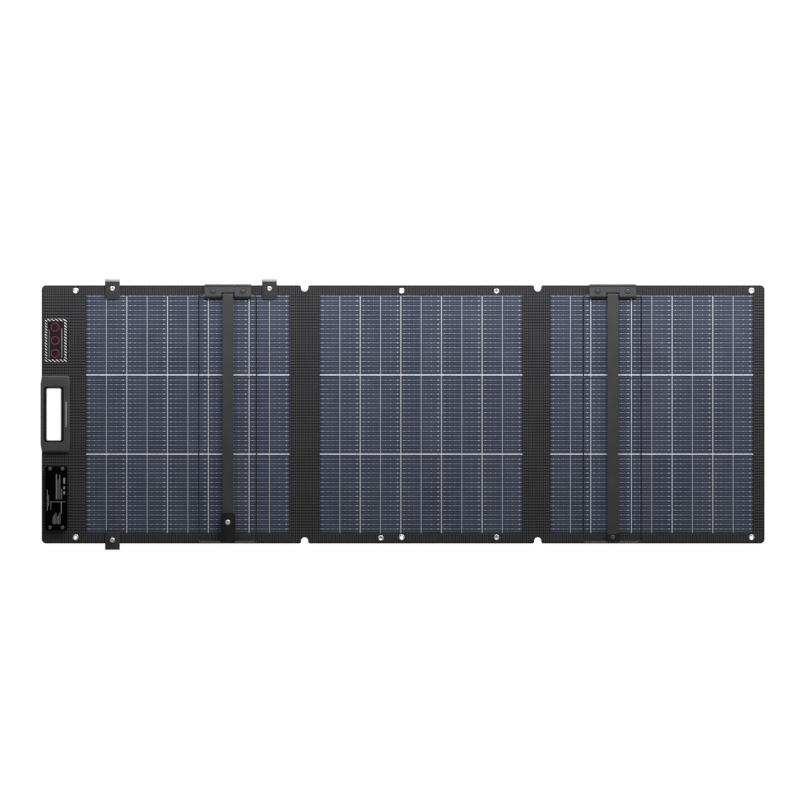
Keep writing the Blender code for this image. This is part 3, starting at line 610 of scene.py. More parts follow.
def make_materials():
    border_cloth()
    cell_surface()
    circuit_board()
    hatched_film()
    pale_floor()
    grained("welded_edge", (0.0055, 0.0055, 0.0058), (0.0125, 0.0125, 0.013), (1.4, 3), (0.25, 0.45),
        (0.05, 0.6), roughness=0.55, specular=0.1)
    grained("backing_sheet", (0.48, 0.48, 0.51), (0.64, 0.64, 0.67), (2.5, 3), None, (0.03, 0.5),
        specular=0.3, Coat_Weight=0.2, Coat_Roughness=0.25)
    grained("gloss_plastic", (0.0006, 0.0006, 0.0008), (0.0016, 0.0016, 0.0018), (30, 4),
        (0.35, 0.7, 0.12, 0.26), (0.01, 0.4), (9, 2), roughness=0.16, specular=0.03)
    grained("powder_coat", (0.02, 0.02, 0.021), (0.048, 0.048, 0.05), (0.8, 3, 0.7), (0.25, 0.42),
        (0.06, 0.9), None, (0.35, 1.1), (35, 3), roughness=0.55, specular=0.4)
    grained("rubber", (0.011, 0.011, 0.012), (0.03, 0.03, 0.031), (4, 5, 0.7), (0.2, 0.72), (0.05, 0.7),
        (0.6, 3), (0.35, 0.75), roughness=0.85, specular=0.2)
    tinned_ribbon("busbar", (0.28, 0.29, 0.33), (0.41, 0.42, 0.47))
    tinned_ribbon("solder", (0.52, 0.53, 0.57), (0.74, 0.75, 0.8))
    tinned_ribbon("row_ribbon", (0.84, 0.85, 0.88), (0.95, 0.95, 0.98))
    webbing("tab_webbing", (0.018, 0.018, 0.019), (0.052, 0.052, 0.054))
    webbing("keeper_webbing", (0.005, 0.005, 0.0055), (0.016, 0.016, 0.017), 1.2)
    webbing("thread", (0.01, 0.01, 0.011), (0.03, 0.03, 0.032), 0.5)
    # painted highlight: a lighter webbing for the folds of the upper tabs, where they catch the light
    webbing("painted_highlight_edge", (0.24, 0.24, 0.25), (0.38, 0.38, 0.39), 0.9)
    moulded("bracket_plastic", (0.042, 0.043, 0.044), (0.066, 0.067, 0.069))
    moulded("grip_plastic", (0.038, 0.038, 0.04), (0.062, 0.063, 0.065))
    # painted highlight: a lighter plastic on the top of the grip's lip, where its edge catches the light
    moulded("painted_highlight_lip", (0.12, 0.12, 0.125), (0.18, 0.18, 0.185), 0.35)
    # black_ring paints shade in the rings round the eyelets and studs and in the grip's groove; it is also
    # the plain black of the washers
    moulded("black_ring", (0.004, 0.004, 0.004), (0.01, 0.01, 0.01), 0.6, 0.8, 0.15)
    moulded("grey_print", (0.2, 0.2, 0.21), (0.34, 0.34, 0.35), 0.5, 0.5, 0.2)
    moulded("dim_print", (0.1, 0.1, 0.105), (0.17, 0.17, 0.175), 0.5, 0.5, 0.2)
    moulded("magenta_print", (0.13, 0.02, 0.06), (0.2, 0.035, 0.095), 0.5, 0.6, 0.2)
    metal("nickel", (0.72, 0.72, 0.73), (0.88, 0.88, 0.89), 0.26, 0.85)
    metal("screw", (0.06, 0.06, 0.062), (0.1, 0.1, 0.102), 0.5, 0.5)
    metal("lid_screw", (0.1, 0.1, 0.105), (0.16, 0.16, 0.17), 0.45, 0.7)
    metal("wire", (0.06, 0.06, 0.062), (0.085, 0.085, 0.088), 0.16, 0.9, 0.1)


# ---- camera and light

def make_camera():
    camera = add_object("camera", bpy.data.cameras.new("camera"))
    camera.data.lens, camera.data.sensor_width = LENS, SENSOR
    camera.location = Vector((*VIEW_CENTRE, VIEW_WIDTH * LENS / SENSOR)) * MM
    camera.data.clip_start, camera.data.clip_end = 0.1, 100
    SCENE.camera = camera


def area_light(name, place, target, size, watts):
    light = bpy.data.lights.new(name, "AREA")
    light.shape, light.energy = "RECTANGLE", watts
    light.size, light.size_y = size
    made = add_object(name, light)
    made.location = place
    made.rotation_euler = (Vector(target) - Vector(place)).to_track_quat("-Z", "Y").to_euler()
    made.visible_camera = False


def make_studio():
    """Two lights beyond the blanket's upper edge, and a sky that pales at the horizon."""
    area_light("strip_light", (0.25, 0.66, 0.4), (0.25, 0.27, 0.0), (2.7, 0.22), 15.5)
    area_light("soft_light", (1.6, 2.4, 2.8), (0.0, 0.0, 0.0), (1.0, 1.0), 40)
    world = bpy.data.worlds.new("studio")
    world.use_nodes = True
    tree = world.node_tree
    direction = add_node(tree, "TexCoord").outputs["Generated"]
    height = add_node(tree, "SeparateXYZ", direction).outputs["Z"]
    background = tree.nodes["Background"]
    feed(background, "Color", (1, 1, 1, 1))
    feed(background, "Strength", ramp_node(tree, height, 0.04, 0.4, HORIZON_LIGHT, ZENITH_LIGHT))
    SCENE.world = world
    SCENE.view_settings.view_transform = "Standard"
    bm = bmesh.new()
    corners = ((-1, -1), (1, -1), (1, 1), (-1, 1))
    bm.faces.new(ring(bm, [(FLOOR_REACH * x, FLOOR_REACH * y) for x, y in corners], FLOOR_Z))
    floor = add_object("floor", metre_mesh("floor", bm))
    floor.data.materials.append(M["pale_floor"])


# ---- panels

WELDED_EDGE = [(WELD, 0)] + round_edge(0, TOP, EDGE_ROUND) + [(WELD, TOP)]


def panel_skin(side):
    """The woven cover of one panel: both skins, welded together along the outer edge."""
    straight = [(0, 0), (0, TOP)]
    left, right = FIELDS[side]
    field = rounded((left + WINDOW_LAP, right - WINDOW_LAP), (WINDOW_LAP - FIELD_HALF,
        FIELD_HALF - TOP_LAP), 0.8, 3)
    holes = [(field, [(-0.3, 0), (0, 0.3), (0, TOP - 0.3), (-0.3, TOP)])]
    fixings = [f"eyelet_top_{side}", f"eyelet_bottom_{side}"] + (STUDS if side == "middle" else [])
    for x, y, _ in map(middle_of, fixings):
        holes.append((round_hole(x, y, BARREL_HOLE), straight))
    if side == "left":
        holes.append((hand_hole(2.6, 2.6, HOLE_CORNER + 2.6), straight))
    bm = solid(panel_outline(side), WELDED_EDGE, holes, edge_index=1)
    finish_piece(f"panel_cover_{side}", bm, ("border_cloth", "welded_edge"), f"{side}_panel",
        (f"front_skin_{side}", f"rear_skin_{side}"))


def notch_reach(x):
    """How far the soft web reaches in Y, at a distance x from its fold line."""
    x = abs(x)
    if x >= NOTCH_MOUTH_HALF:
        return HALF_HEIGHT
    if x > NOTCH_HALF:
        run = (NOTCH_MOUTH_HALF - x) / NOTCH_SHOULDER
        return HALF_HEIGHT - NOTCH_SHOULDER * (1 - sqrt(max(1 - run * run, 0)))
    return HALF_HEIGHT - NOTCH_DEPTH + NOTCH_HALF - sqrt(NOTCH_HALF ** 2 - x * x)


def fold_web(name):
    """One soft web between two panels. Its ends are cut out by a notch."""
    left, right = [f"rear_skin_{body.removesuffix('_panel')}" for body in FOLDS[name]]
    left, right = span(left)[1].x, span(right)[0].x
    fold = (left + right) / 2
    columns = [(right - left) / 2, NOTCH_MOUTH_HALF]
    columns += [NOTCH_MOUTH_HALF - NOTCH_SHOULDER * sin(radians(a)) for a in (20, 40, 60, 80, 90)]
    columns += [NOTCH_HALF * cos(radians(a)) for a in (0.5, 15, 30, 45, 60, 75)]
    columns = sorted({-x for x in columns} | set(columns) | {0.0})
    bm = bmesh.new()
    rings = []
    for x in columns:
        reach = notch_reach(x)
        loop = [(reach - inset, z) for inset, z in WELDED_EDGE]
        loop += [(inset - reach, z) for inset, z in reversed(WELDED_EDGE)]
        rings.append([bm.verts.new((fold + x, y, z)) for y, z in loop])
    wall(bm, *rings, index=1)
    bm.faces.ensure_lookup_table()
    for i in range(len(columns) - 1):
        for flat in (0, len(WELDED_EDGE)):
            bm.faces[i * len(rings[0]) + flat].material_index = 0
    close_ends(bm, rings)
    piece = finish_piece(f"fold_web_{name}", bm, ("border_cloth", "welded_edge"), None,
        (f"fold_web_{name}_outer", f"fold_web_{name}_inner"))
    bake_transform(piece)


def busbar_y(k):
    row, place = divmod(k, BUSBARS_IN_ROW)
    if place:
        return FIELD_HALF - k * BUSBAR_PITCH - BUSBAR_DROP
    return FIELD_HALF - (row * ROW_PITCH if row else 0.6)


def bar(bm, x, y, width, deep, shallow):
    """Adds a thin bar, centred on y, between two depths under the rear face."""
    block(bm, x, (y - width / 2, y + width / 2), (TOP - deep, TOP - shallow))


def both_bars(bm, x, y, width, deep, shallow):
    """Adds a bar under the rear face, and one as far over the sun-side face."""
    bar(bm, x, y, width, deep, shallow)
    bar(bm, x, y, width, TOP - shallow, TOP - deep)


def cell_field(side):
    """The stiff cell sheet of one panel, seen through the windows on both sides."""
    left, right = FIELDS[side]
    pitch = (right - left + STRIP_GAP) / STRIPS
    backing, strips, ribbons, bright, pads = (bmesh.new() for _ in range(5))
    block(backing, (left, right), (-FIELD_HALF, FIELD_HALF), (0.2, TOP - 0.2))
    margin = ROW_RIBBON / 2 + 0.25
    for row in range(ROWS):
        high = FIELD_HALF - row * ROW_PITCH - (margin if row else 0)
        low = -FIELD_HALF if row == ROWS - 1 else FIELD_HALF - (row + 1) * ROW_PITCH + margin
        for i in range(STRIPS):
            start = left + i * pitch + (GAP_HALVES[i % 2] - STRIP_GAP / 2 if i else 0)
            end = left + (i + 1) * pitch - STRIP_GAP / 2 - GAP_HALVES[(i + 1) % 2]
            end = right if i == STRIPS - 1 else end
            both_bars(strips, (start, end), (low + high) / 2, high - low, 0.23, 0.1)
    for k in range(ROWS * BUSBARS_IN_ROW):
        y = busbar_y(k)
        whole = k % BUSBARS_IN_ROW == 0
        if k:
            both_bars(bright if whole else ribbons, (left, right - 0.4), y, ROW_RIBBON if whole
                else BUSBAR_WIDTH, 0.12, 0.03)
        if not whole:
            bar(ribbons, (left, left + LEAD_LENGTH), y, LEAD_WIDTH, 0.11, 0.02)
        for pair in range(STRIPS // 2):
            for place, length, width in PADS:
                x = left + pair * 2 * pitch + place
                bar(pads, (x - length / 2, x + length / 2), y, width, 0.1, 0.01)
    top = FIELD_HALF - BUSBAR_WIDTH
    block(ribbons, (left, right), (top - 0.4, top + BUSBAR_WIDTH / 2), (TOP - 0.12, TOP - 0.03))
    body = f"{side}_panel"
    finish_piece(f"cell_backing_{side}", backing, "backing_sheet", body, (f"cell_laminate_{side}",))
    finish_piece(f"cell_strips_{side}", strips, "cell_surface", body, place=lambda x,
        y: ((x - left) / pitch, (FIELD_HALF - y) / ROW_PITCH))
    for name, bm, material in (("busbars", ribbons, "busbar"), ("row_ribbons", bright, "row_ribbon"),
            ("solder_pads", pads, "solder")):
        finish_piece(f"{name}_{side}", bm, material, body)


# ---- metal fixings

def turned(name, profile, node, material, replaces=(), steps=40, sharp=60):
    """A turned piece at a CAD node's place, which rides with that node."""
    x, y, _ = middle_of(node)
    finish_piece(name, lathe(profile, x, y, steps), material, frame["nodes"][node]["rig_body"], replaces,
        sharp=sharp)


def nickel_fixing(node, profile):
    turned(f"metal_{node}", profile, node, "nickel", (node,))


def round_size(node):
    """The radius, the lowest and the highest level of a round CAD node."""
    low, high = span(node)
    return (high.x - low.x) / 2, low.z, high.z


def back_flange(radius):
    """The flange in the sun-side skin, the barrel, and the seat on the rear skin."""
    return [*from_rim(radius, 0, (-0.3, 0.08), (0, 0.3), (-0.3, 0.9)), (BARREL, 0.9),
        *from_rim(0, TOP, (BARREL, 0.05), (radius - 0.1, 0.05))]


def painted_shade_ring(node, radius):
    """A black ring in the cloth round a fixing: painted shade, standing in for the shadow in the gap round
    the flange.
    """
    profile = from_rim(radius, TOP, (-0.4, -0.05), (1.0, -0.05), (0.9, 0.12), (0.35, 0.3), (-0.4, 0.3))
    turned(f"rim_{node}", profile, node, "black_ring")


def eyelet(node):
    """A two-part eyelet: a domed flange with a rolled bore, and a flat back flange."""
    radius, _, top = round_size(node)
    nickel_fixing(node, [(EYELET_BORE, 0.35), (EYELET_BORE + 0.3, 0.08), *back_flange(radius),
        (radius, TOP + 0.35), *from_rim(radius, top, (-0.5, -0.25), (-1.2, -0.02)), (4.5, top),
        (3.7, top - 0.3), (EYELET_BORE, top - 0.9)])
    painted_shade_ring(node, radius)


def snap_stud(node):
    """A press-stud socket: a rolled rim round a blind well."""
    radius, _, top = round_size(node)
    nickel_fixing(node, [(0, 0.08), *back_flange(radius), (radius, TOP + 0.4),
        *from_rim(radius, top, (-0.15, -0.9), (-0.9, -0.1), (-1.4, 0), (-2.0, -0.15)), (2.6, top - 0.7),
        (2.3, top - 1.6), (0, top - 1.7)])
    painted_shade_ring(node, radius)


def snap_cap(node, washer):
    """A press-stud cap: a domed, dished head over a black washer."""
    radius, low, top = round_size(node)
    seat = top - 1.8
    nickel_fixing(node, [*from_rim(0, low, (0, 0), (4.0, 0), (4.5, 0.3), (4.5, 0.9), (1.7, 1.0)),
        (1.7, seat + 0.1), *from_rim(radius, seat, (-0.1, 0.1), (0, 0.4), (-0.3, 1.0), (-1.0, 1.5),
        (-1.9, 1.75), (-2.6, 1.7)), (1.6, seat + 1.1), (0, seat + 1.0)])
    profile = from_rim(radius, seat, (-1.2, -0.12), (0.9, -0.12), (1.1, 0.1), (0.8, 0.35), (-0.2, 0.35),
        (-1.2, 0.1))
    turned(washer, profile, node, "black_ring")


def dome_screw(node, head, material):
    """A pan-head screw with a hexagon socket."""
    radius, low, top = round_size(node)
    under = top - head
    profile = [(0, low), (1.6, low), (1.6, under), (radius - 0.25, under), (radius, under + 0.25),
        (radius, under + head * 0.35), (radius * 0.9, under + head * 0.7),
        (radius * 0.68, under + head * 0.93), (radius * 0.48, top), (radius * 0.36, top - 0.02, "hex"),
        (radius * 0.34, top - 1.3, "hex"), (0, top - 1.5)]
    turned(f"metal_{node}", profile, node, material, (node,), 48, 45)


# ---- straps

def stitches(name, start, end, z, body):
    """A seam of short raised threads from one (x, y) point to another."""
    start, end = Vector(start), Vector(end)
    run, along = (end - start).length, (end - start).normalized()
    count = int((run + STITCH_PITCH - STITCH_LENGTH) / STITCH_PITCH)
    reach = [STITCH_LENGTH / 2 * abs(way) + STITCH_WIDTH / 2 * (1 - abs(way)) for way in along]
    bm = bmesh.new()
    for i in range(count):
        x, y = start + along * (run / count * (i + 0.5))
        block(bm, (x - reach[0], x + reach[0]), (y - reach[1], y + reach[1]), (z - 0.1, z + 0.16))
    finish_piece(name, bm, "thread", body)


def band(path, x, highlight_span=(0, 0)):
    """A strap of an even width that follows a path of (y, z, thickness) points.

    Its corners are cut off at the end of the path. Between the two highlight stations it takes
    the second material, a lighter webbing that paints a highlight.
    """
    spots = [Vector(point[:2]) for point in path]
    to_go = [0.0]
    for one, other in zip(spots[::-1], spots[-2::-1]):
        to_go.append(to_go[-1] + (one - other).length)
    bm = bmesh.new()
    rings = []
    for i, (y, z, thickness) in enumerate(path):
        along = (spots[min(i + 1, len(path) - 1)] - spots[max(i - 1, 0)]).normalized()
        out = Vector((-along.y, along.x))
        narrow = max(STRAP_CUT - to_go[len(path) - 1 - i], 0)
        left, right, half = x[0] + narrow, x[1] - narrow, thickness / 2
        soft = half - STRAP_EDGE
        section = ((left + STRAP_EDGE, half), (right - STRAP_EDGE, half), (right, soft), (right, -soft),
            (right - STRAP_EDGE, -half), (left + STRAP_EDGE, -half), (left, -soft), (left, soft))
        rings.append([bm.verts.new((px, *(spots[i] + out * reach))) for px, reach in section])
    for number, (low, high) in enumerate(zip(rings, rings[1:])):
        wall(bm, low, high, index=1 if highlight_span[0] <= number < highlight_span[1] else 0)
    return close_ends(bm, rings)


def turn_points(y, z, radius, start, end, steps, thickness):
    return [(*point, thickness) for point in arc(y, z, radius, start, end, steps)]


def strap_run(start, end, steps, z, thickness):
    """Points along a flat run of strap, close together where its corners are cut."""
    way = STRAP_CUT if end > start else -STRAP_CUT
    points = [(start + (end - way - start) * k / steps, z, thickness) for k in range(steps + 1)]
    return points + [(end - way + way * t, z, thickness) for t in (0.3, 0.6, 0.85, 1.0)]


def axis_y(child):
    return next(j["pos_m"][1] / MM for j in frame["joints"] if j["child"] == child)


def closure_tab(number):
    """A strap welded to the panel's edge, folded back over it and closed by a press stud."""
    node, body = f"closure_tab_{number}", f"closure_{number}"
    low, high = span(node)
    edge, axis = 1 if high.y > 0 else -1, axis_y(body)
    tongue_z, flap_z = TOP - 0.6, (low.z + high.z) / 2
    radius = (flap_z - tongue_z) / 2
    fold_y = axis - edge * (radius + 0.35)
    path = [(edge * (HALF_HEIGHT - 6.0), tongue_z, 1.2), (edge * HALF_HEIGHT, tongue_z, 1.2),
        (fold_y, tongue_z, 1.2)]
    path += [(fold_y + edge * y, (tongue_z + flap_z) / 2 + z, t) for y, z,
        t in turn_points(0, 0, radius, -80, 80, 8, 1.3)]
    # On the tabs along the upper edge the fold's outer part takes a lighter webbing: a painted highlight
    # where the fold faces the light. The tab on the lower edge has none.
    highlight_end = fold_y - edge * 3.2
    path += [(fold_y - edge * 0.2, flap_z, 1.4), (highlight_end, flap_z, 1.4)]
    highlight_span = (7, len(path) - 1) if edge > 0 else (0, 0)
    path += strap_run(highlight_end - edge * 0.6, low.y if edge > 0 else high.y, 9, flap_z, 1.4)
    piece = finish_piece(f"strap_{node}", band(path, (low.x, high.x), highlight_span), ("tab_webbing", "painted_highlight_edge"),
        None, (node,), sharp=50)
    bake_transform(piece)
    snap_cap(f"closure_snap_{number}", f"washer_{node}")
    seam = highlight_end - edge * 1.6
    stitches(f"stitches_{node}", (low.x + 1.2, seam), (high.x - 1.2, seam), high.z, body)


def keeper():
    """The strap round the left stand's bottom rod, which folds back over the bar."""
    low, high = span("keeper_strap")
    loop_low, loop_high = span("keeper_loop")
    axis, bend = axis_y("keeper"), 2.6
    outside = loop_low.y + 0.4 - ROD_SET * 0.55
    under_z, flap_z = loop_low.z + 0.4, (low.z + high.z) / 2
    path = [(loop_high.y, under_z, 0.8), (outside + 1.2, under_z, 0.8)]
    path += turn_points(outside + 1.0, under_z + 1.0, 1.0, 260, 190, 4, 0.8)
    path += [(outside, under_z + 1.4 + k * 1.2, 0.8) for k in range(7)]
    path += turn_points(outside + bend, flap_z - bend, bend, 175, 95, 8, 1.2)
    path += strap_run(outside + bend + 0.6, high.y, 16, flap_z, 1.3)
    piece = finish_piece("strap_keeper", band(path, (low.x, high.x)), "keeper_webbing", None,
        ("keeper_strap", "keeper_loop"), sharp=50)
    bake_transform(piece)
    snap_cap("keeper_snap", "washer_keeper")
    for name, x in (("left", low.x + 1.8), ("right", high.x - 1.8)):
        stitches(f"stitches_keeper_{name}", (x, axis + 6), (x, high.y - 6), high.z, "keeper")


# ---- stands

def bracket(side):
    """The hinge bracket over the panel's upper edge: two cheeks and a cover between them."""
    node, body = f"stand_bracket_{side}", f"{side}_panel"
    low, high = span(node)
    middle, half, top = (low.x + high.x) / 2, (high.x - low.x) / 2, high.z
    front, back, groove = low.y + 0.7, high.y - 0.1, (high.y - 5.3, high.y - 3.7)

    def over_the_back(drop):
        """From the groove's bottom over the back and round the panel's edge."""
        return [(groove[0], top - 3.4), (groove[1], top - 3.4), (groove[1], top - 0.1 - drop),
            (back - 2, top - 0.1 - drop), (back - drop, top - 2 - drop), (back - drop, 0.1),
            (BRACKET_LIP, 0.1), (BRACKET_LIP, TOP + 0.1)]

    cheek = [(front, TOP + 0.1), (front, TOP + 4.5), (BRACKET_FACE, top), (groove[0], top)]
    cover = [(COVER_Y, TOP + 0.1), (COVER_Y, top - 1.2), (COVER_Y + 1.2, top - 0.1), (groove[0], top - 0.1)]
    bm = bmesh.new()
    for s in (-1, 1):
        x = sorted((middle + s * (SLOT_HALF + SLOT_GAP), middle + s * half))
        prism_x(cheek + over_the_back(0), x, bm)
    prism_x(cover + over_the_back(0.1), (middle - SLOT_HALF, middle + SLOT_HALF), bm)
    piece = finish_piece(f"shell_{node}", bm, "bracket_plastic", None, (node,))
    cuts, washers, corners = bmesh.new(), bmesh.new(), bmesh.new()
    for screw in (f"bracket_screw_{side}_{number}" for number in (1, 2)):
        x, y, _ = middle_of(screw)
        lathe([(0, top - 2.0), (5.7, top - 2.0), (5.7, top + 2), (0, top + 2)], x, y, 40, cuts)
        lathe([(0, -1), (2.1, -1), (2.1, top - 1), (0, top - 1)], x, y, 24, cuts)
        lathe(from_rim(0, top, (2.0, -1.95), (5.65, -1.95), (5.65, -0.1), (5.25, -0.1), (5.25, -1.6),
            (2.0, -1.6)), x, y, 40, washers)
        dome_screw(screw, 2.0, "screw")
    plan = [(-half - 1, low.y - 1), (half + 1, low.y - 1), (half + 1, high.y - BRACKET_CUT - 1),
        (half - BRACKET_CUT, high.y + 1), (BRACKET_CUT - half, high.y + 1),
        (-half - 1, high.y - BRACKET_CUT - 1)]
    slab(corners, [(middle + x, y) for x, y in plan], (-2, top + 2))
    carve(piece, (("DIFFERENCE", cuts), ("INTERSECT", corners)))
    add_bevel(piece, 0.45, 2, 30)
    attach(piece, body)
    finish_piece(f"washers_{node}", washers, "black_ring", body)


def carve(piece, tools):
    """Applies Boolean cuts to a piece, then drops the tools."""
    materials = list(piece.data.materials)
    for operation, bm in tools:
        tool = add_object("tool", metre_mesh("tool", bm))
        step = piece.modifiers.new("Cut", "BOOLEAN")
        step.operation, step.solver, step.object = operation, "EXACT", tool
        bpy.context.view_layer.update()
        depsgraph = bpy.context.evaluated_depsgraph_get()
        shaped = bpy.data.meshes.new_from_object(piece.evaluated_get(depsgraph))
        piece.modifiers.remove(step)
        piece.data = shaped
        bpy.data.objects.remove(tool)
    shaped.materials.clear()
    for material in materials:
        shaped.materials.append(material)
    shaped.shade_smooth()
    shaped.set_sharp_from_angle(angle=radians(38))


def stand_bar(side):
    """The flat leg, rolled round the hinge pin at its upper end."""
    node = f"stand_bar_{side}"
    low, high = span(node)
    under, middle = high.z - BAR_THICK, (low.x + high.x) / 2
    drop = degrees(asin((under - HINGE_Z) / KNUCKLE))
    profile = [(BAR_END, high.z), (BAR_END, under)]
    profile += arc(HINGE_Y, HINGE_Z, KNUCKLE, 180 - drop, 450, 18)
    bm = prism_x(profile, (low.x, high.x))
    block(bm, (middle - TONGUE_HALF, middle + TONGUE_HALF), (low.y, BAR_END + 0.05),
        (under + 0.05, high.z - 0.05))
    finish_piece(f"leg_{node}", bm, "powder_coat", f"leg_{side}", (node,), bevel=0.4)


def wire_path(middle, half, rod_y):
    """The bail's bent path from one turned-in end to the other."""
    loop = rounded((middle - half, middle + half), (rod_y, HINGE_Y), WIRE_BEND, 8)()
    corner = len(loop) // 4
    path = [(middle - WIRE_END, HINGE_Y), *loop[-corner:], *loop[:-corner], (middle + WIRE_END, HINGE_Y)]
    return [(*p, HINGE_Z) for p in path]


def stand_wire(side):
    """The wire bail of a stand, with a welded crossbar."""
    node = f"stand_wire_{side}"
    low, high = span(node)
    middle, half = (low.x + high.x) / 2 - WIRE_SHIFT[side], (high.x - low.x) / 2 - WIRE
    bm = tube(wire_path(middle, half, low.y + WIRE - ROD_SET), WIRE)
    cross = [(middle + half * (k / 10 - 1), CROSS_Y, HINGE_Z) for k in range(21)]
    tube(cross, WIRE - 0.15, 12, bm)
    weld = [(0, -1.9), (1.0, -1.6), (1.75, -0.7), (1.85, 0), (1.75, 0.7), (1.0, 1.6), (0, 1.9)]
    for s in (-1, 1):
        lathe([(r, HINGE_Z + z * 0.95) for r, z in weld], middle + s * half - s * 0.5, CROSS_Y, 20, bm)
    bail = finish_piece(f"bail_{node}", bm, "wire", f"leg_{side}", (node,), sharp=60)
    bail.visible_shadow = False


def stand_foot(side):
    """A rubber shoe, ribbed across, on the end of the bar and round the bottom rod."""
    node, rivet = f"stand_foot_{side}", f"foot_rivet_{side}"
    low, high = span(node)
    toe, base = low.y - ROD_SET * 0.75, high.z
    profile = [(toe + 0.6, low.z), (high.y, low.z + 0.3), (high.y, base)]
    for i in range(5):
        y = high.y - 2.2 - 2.9 * i
        profile += [(y, base), (y - 0.5, base - 0.35), (y - 1.1, base - 0.35), (y - 1.6, base)]
    profile += [(toe + 1.2, base - 0.1), (toe, base - 1.4), (toe, low.z + 0.6)]
    finish_piece(f"shoe_{node}", prism_x(profile, (low.x, high.x)), "rubber", f"leg_{side}", (node,),
        bevel=0.3)
    radius, _, top = round_size(rivet)
    head = [(0, base - 1), (1.5, base - 1), (1.5, base + 0.1), (radius, base + 0.1), (radius, base + 0.5),
        (radius * 0.85, top - 0.35), (radius * 0.55, top), (radius * 0.3, top), (radius * 0.2, top - 0.4),
        (0, top - 0.45)]
    turned(f"metal_{rivet}", head, rivet, "screw", (rivet,))
    washer = from_rim(radius, base, (-0.5, -0.1), (1.0, -0.1), (0.8, 0.2), (-0.5, 0.2))
    turned(f"washer_{node}", washer, rivet, "black_ring", sharp=38)


# ---- left end

def hand_grip():
    """The grip's rear shell: a dished frame with a rounded opening and an inner lip. The lip's top is a
    lighter plastic, a painted highlight; its outer wall and the groove's floor are black, painted shade.
    """
    low, high = span("grip_rear_shell")
    base, rise = TOP + 0.1, high.z
    hole, collar = hand_hole(0, 0, HOLE_CORNER), hand_hole(2.3, 2.3, HOLE_CORNER + 2.3)
    moat = hand_hole(4.7, 2.8, 6.0)
    edge = [(0, base), (0, rise - 2.6), (0.2, rise - 2.3), (2.3, rise - 0.35), (2.8, rise - 0.1),
        (3.3, rise), (3.7, rise)]
    trim = [(1.4, low.z), (1.4, rise - 1.7), (1.2, rise - 1.3), (0.0, rise - 1.3), (-0.3, rise - 1.7),
        (-0.3, rise - 3.2)]
    shore = [(0, rise - 3.2), (-0.1, rise - 0.5), (-0.4, rise - 0.05), (-0.8, rise)]
    bm = bmesh.new()
    outer, rim, lip = [[ring(bm, outline(inset), z) for inset, z in sides] for outline,
        sides in ((grip_outline, edge), (moat, shore), (hole, trim))]
    sleeve = [ring(bm, collar(0), low.z), ring(bm, collar(0), base)]
    # index 2 paints a highlight on the lip's top; index 1 paints shade down the lip's outer wall and on the
    # groove's floor
    for rings, index in ((outer, 0), (rim, 0), (lip[:2], 0), (lip[1:5], 2), (lip[4:], 1), (sleeve, 0),
            ((lip[-1], rim[0]), 1)):
        wall(bm, *rings, index=index)
    cap(bm, outer[-1], rim[-1])
    cap(bm, outer[0], sleeve[1])
    cap(bm, sleeve[0], lip[0])
    finish_piece("grip_frame", bm, ("grip_plastic", "black_ring", "painted_highlight_lip"), "left_panel",
        ("grip_rear_shell",), sharp=36)
    x_mid = (HOLE_X[1] + high.x) / 2 + 1.0
    pill = rounded((x_mid - INLAY_HALF_WIDTH, x_mid + INLAY_HALF_WIDTH),
        (-INLAY_HALF_LENGTH, INLAY_HALF_LENGTH), 1.4)
    finish_piece("grip_inlay", solid(pill, top_edge(rise - 0.3, rise + 0.12, 0.2)), "grey_print",
        "left_panel")


def printed_bars(name, bars, origin, z, material):
    bm = bmesh.new()
    for x, to_x, y, to_y in bars:
        block(bm, (origin.x + x, origin.x + to_x), (origin.y + y, origin.y + to_y), z)
    finish_piece(name, bm, material, "left_panel")


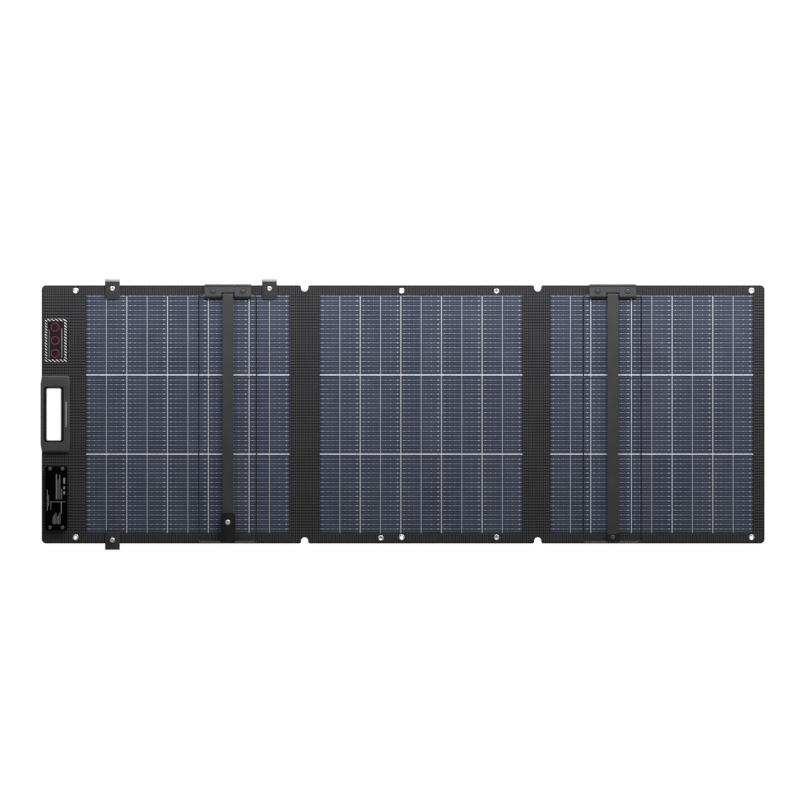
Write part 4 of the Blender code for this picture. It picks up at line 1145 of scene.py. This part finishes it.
def junction_lid():
    """A glossy lid with four screw wells and plain printed bars."""
    low, high = span("junction_box_lid")
    middle, top = (low + high) / 2, high.z
    outline = rounded((low.x, high.x), (low.y, high.y), LID_CORNER)
    well = [(0, top - 1.7), (0, top - 0.3), (-0.3, top)]
    wells = [(round_hole(middle.x + x, middle.y + y, 4.3), well) for x, y in SCREW_SPOTS]
    edge = [(0.4, low.z), (0, low.z + 0.4), (0, top - 1.0), (0.3, top - 0.3), (1.0, top)]
    finish_piece("lid_shell", solid(outline, edge, wells=wells), "gloss_plastic", "left_panel",
        ("junction_box_lid",), sharp=45)
    for number in range(1, 5):
        dome_screw(f"junction_screw_{number}", 1.8, "lid_screw")
    printed_bars("lid_bars", LID_BARS, middle, (top - 0.05, top + 0.06), "grey_print")


def label():
    """A plain plate with a hatched rim, three plain rings and two plain bars."""
    low, high = span("label_plate")
    outline = rounded((low.x, high.x), (low.y, high.y), 2.2)
    bm = solid(outline, round_edge(low.z - 0.25, high.z, 0.14, 2))
    finish_piece("label_film", bm, "hatched_film", "left_panel", ("label_plate",))
    rings = bmesh.new()
    profile = from_rim(0, high.z, (7.0, -0.05), (9.2, -0.05), (9.1, 0.08), (7.1, 0.08))
    for y in LABEL_RINGS_Y:
        lathe(profile, LABEL_RINGS_X, y, 48, rings)
    finish_piece("label_rings", rings, "magenta_print", "left_panel")
    printed_bars("label_bars", LABEL_BARS, Vector(), (high.z - 0.05, high.z + 0.05), "dim_print")


# ---- assembly

def dress_cad_nodes():
    """The CAD nodes that keep their shape get the finish of their real material."""
    dress = {"junction_box_base": "bracket_plastic", "junction_board": "circuit_board",
        "cable_grommet": "rubber", "grip_front_shell": "grip_plastic"}
    for side in STAND_SIDES:
        dress[f"clamp_plate_{side}"] = "powder_coat"
        dress[f"hinge_pin_{side}"] = "wire"
    for node, material in dress.items():
        slots = frame["nodes"][node].data.materials
        slots.clear()
        slots.append(M[material])


def build():
    make_camera()
    make_materials()
    make_studio()
    for side in SIDES:
        panel_skin(side)
        cell_field(side)
        for row in ("top", "bottom"):
            eyelet(f"eyelet_{row}_{side}")
    for name in FOLDS:
        fold_web(name)
    for node in STUDS:
        snap_stud(node)
    for number in (1, 2, 3):
        closure_tab(number)
    for side in STAND_SIDES:
        bracket(side)
        stand_bar(side)
        stand_wire(side)
        stand_foot(side)
    keeper()
    hand_grip()
    junction_lid()
    label()
    dress_cad_nodes()


build()
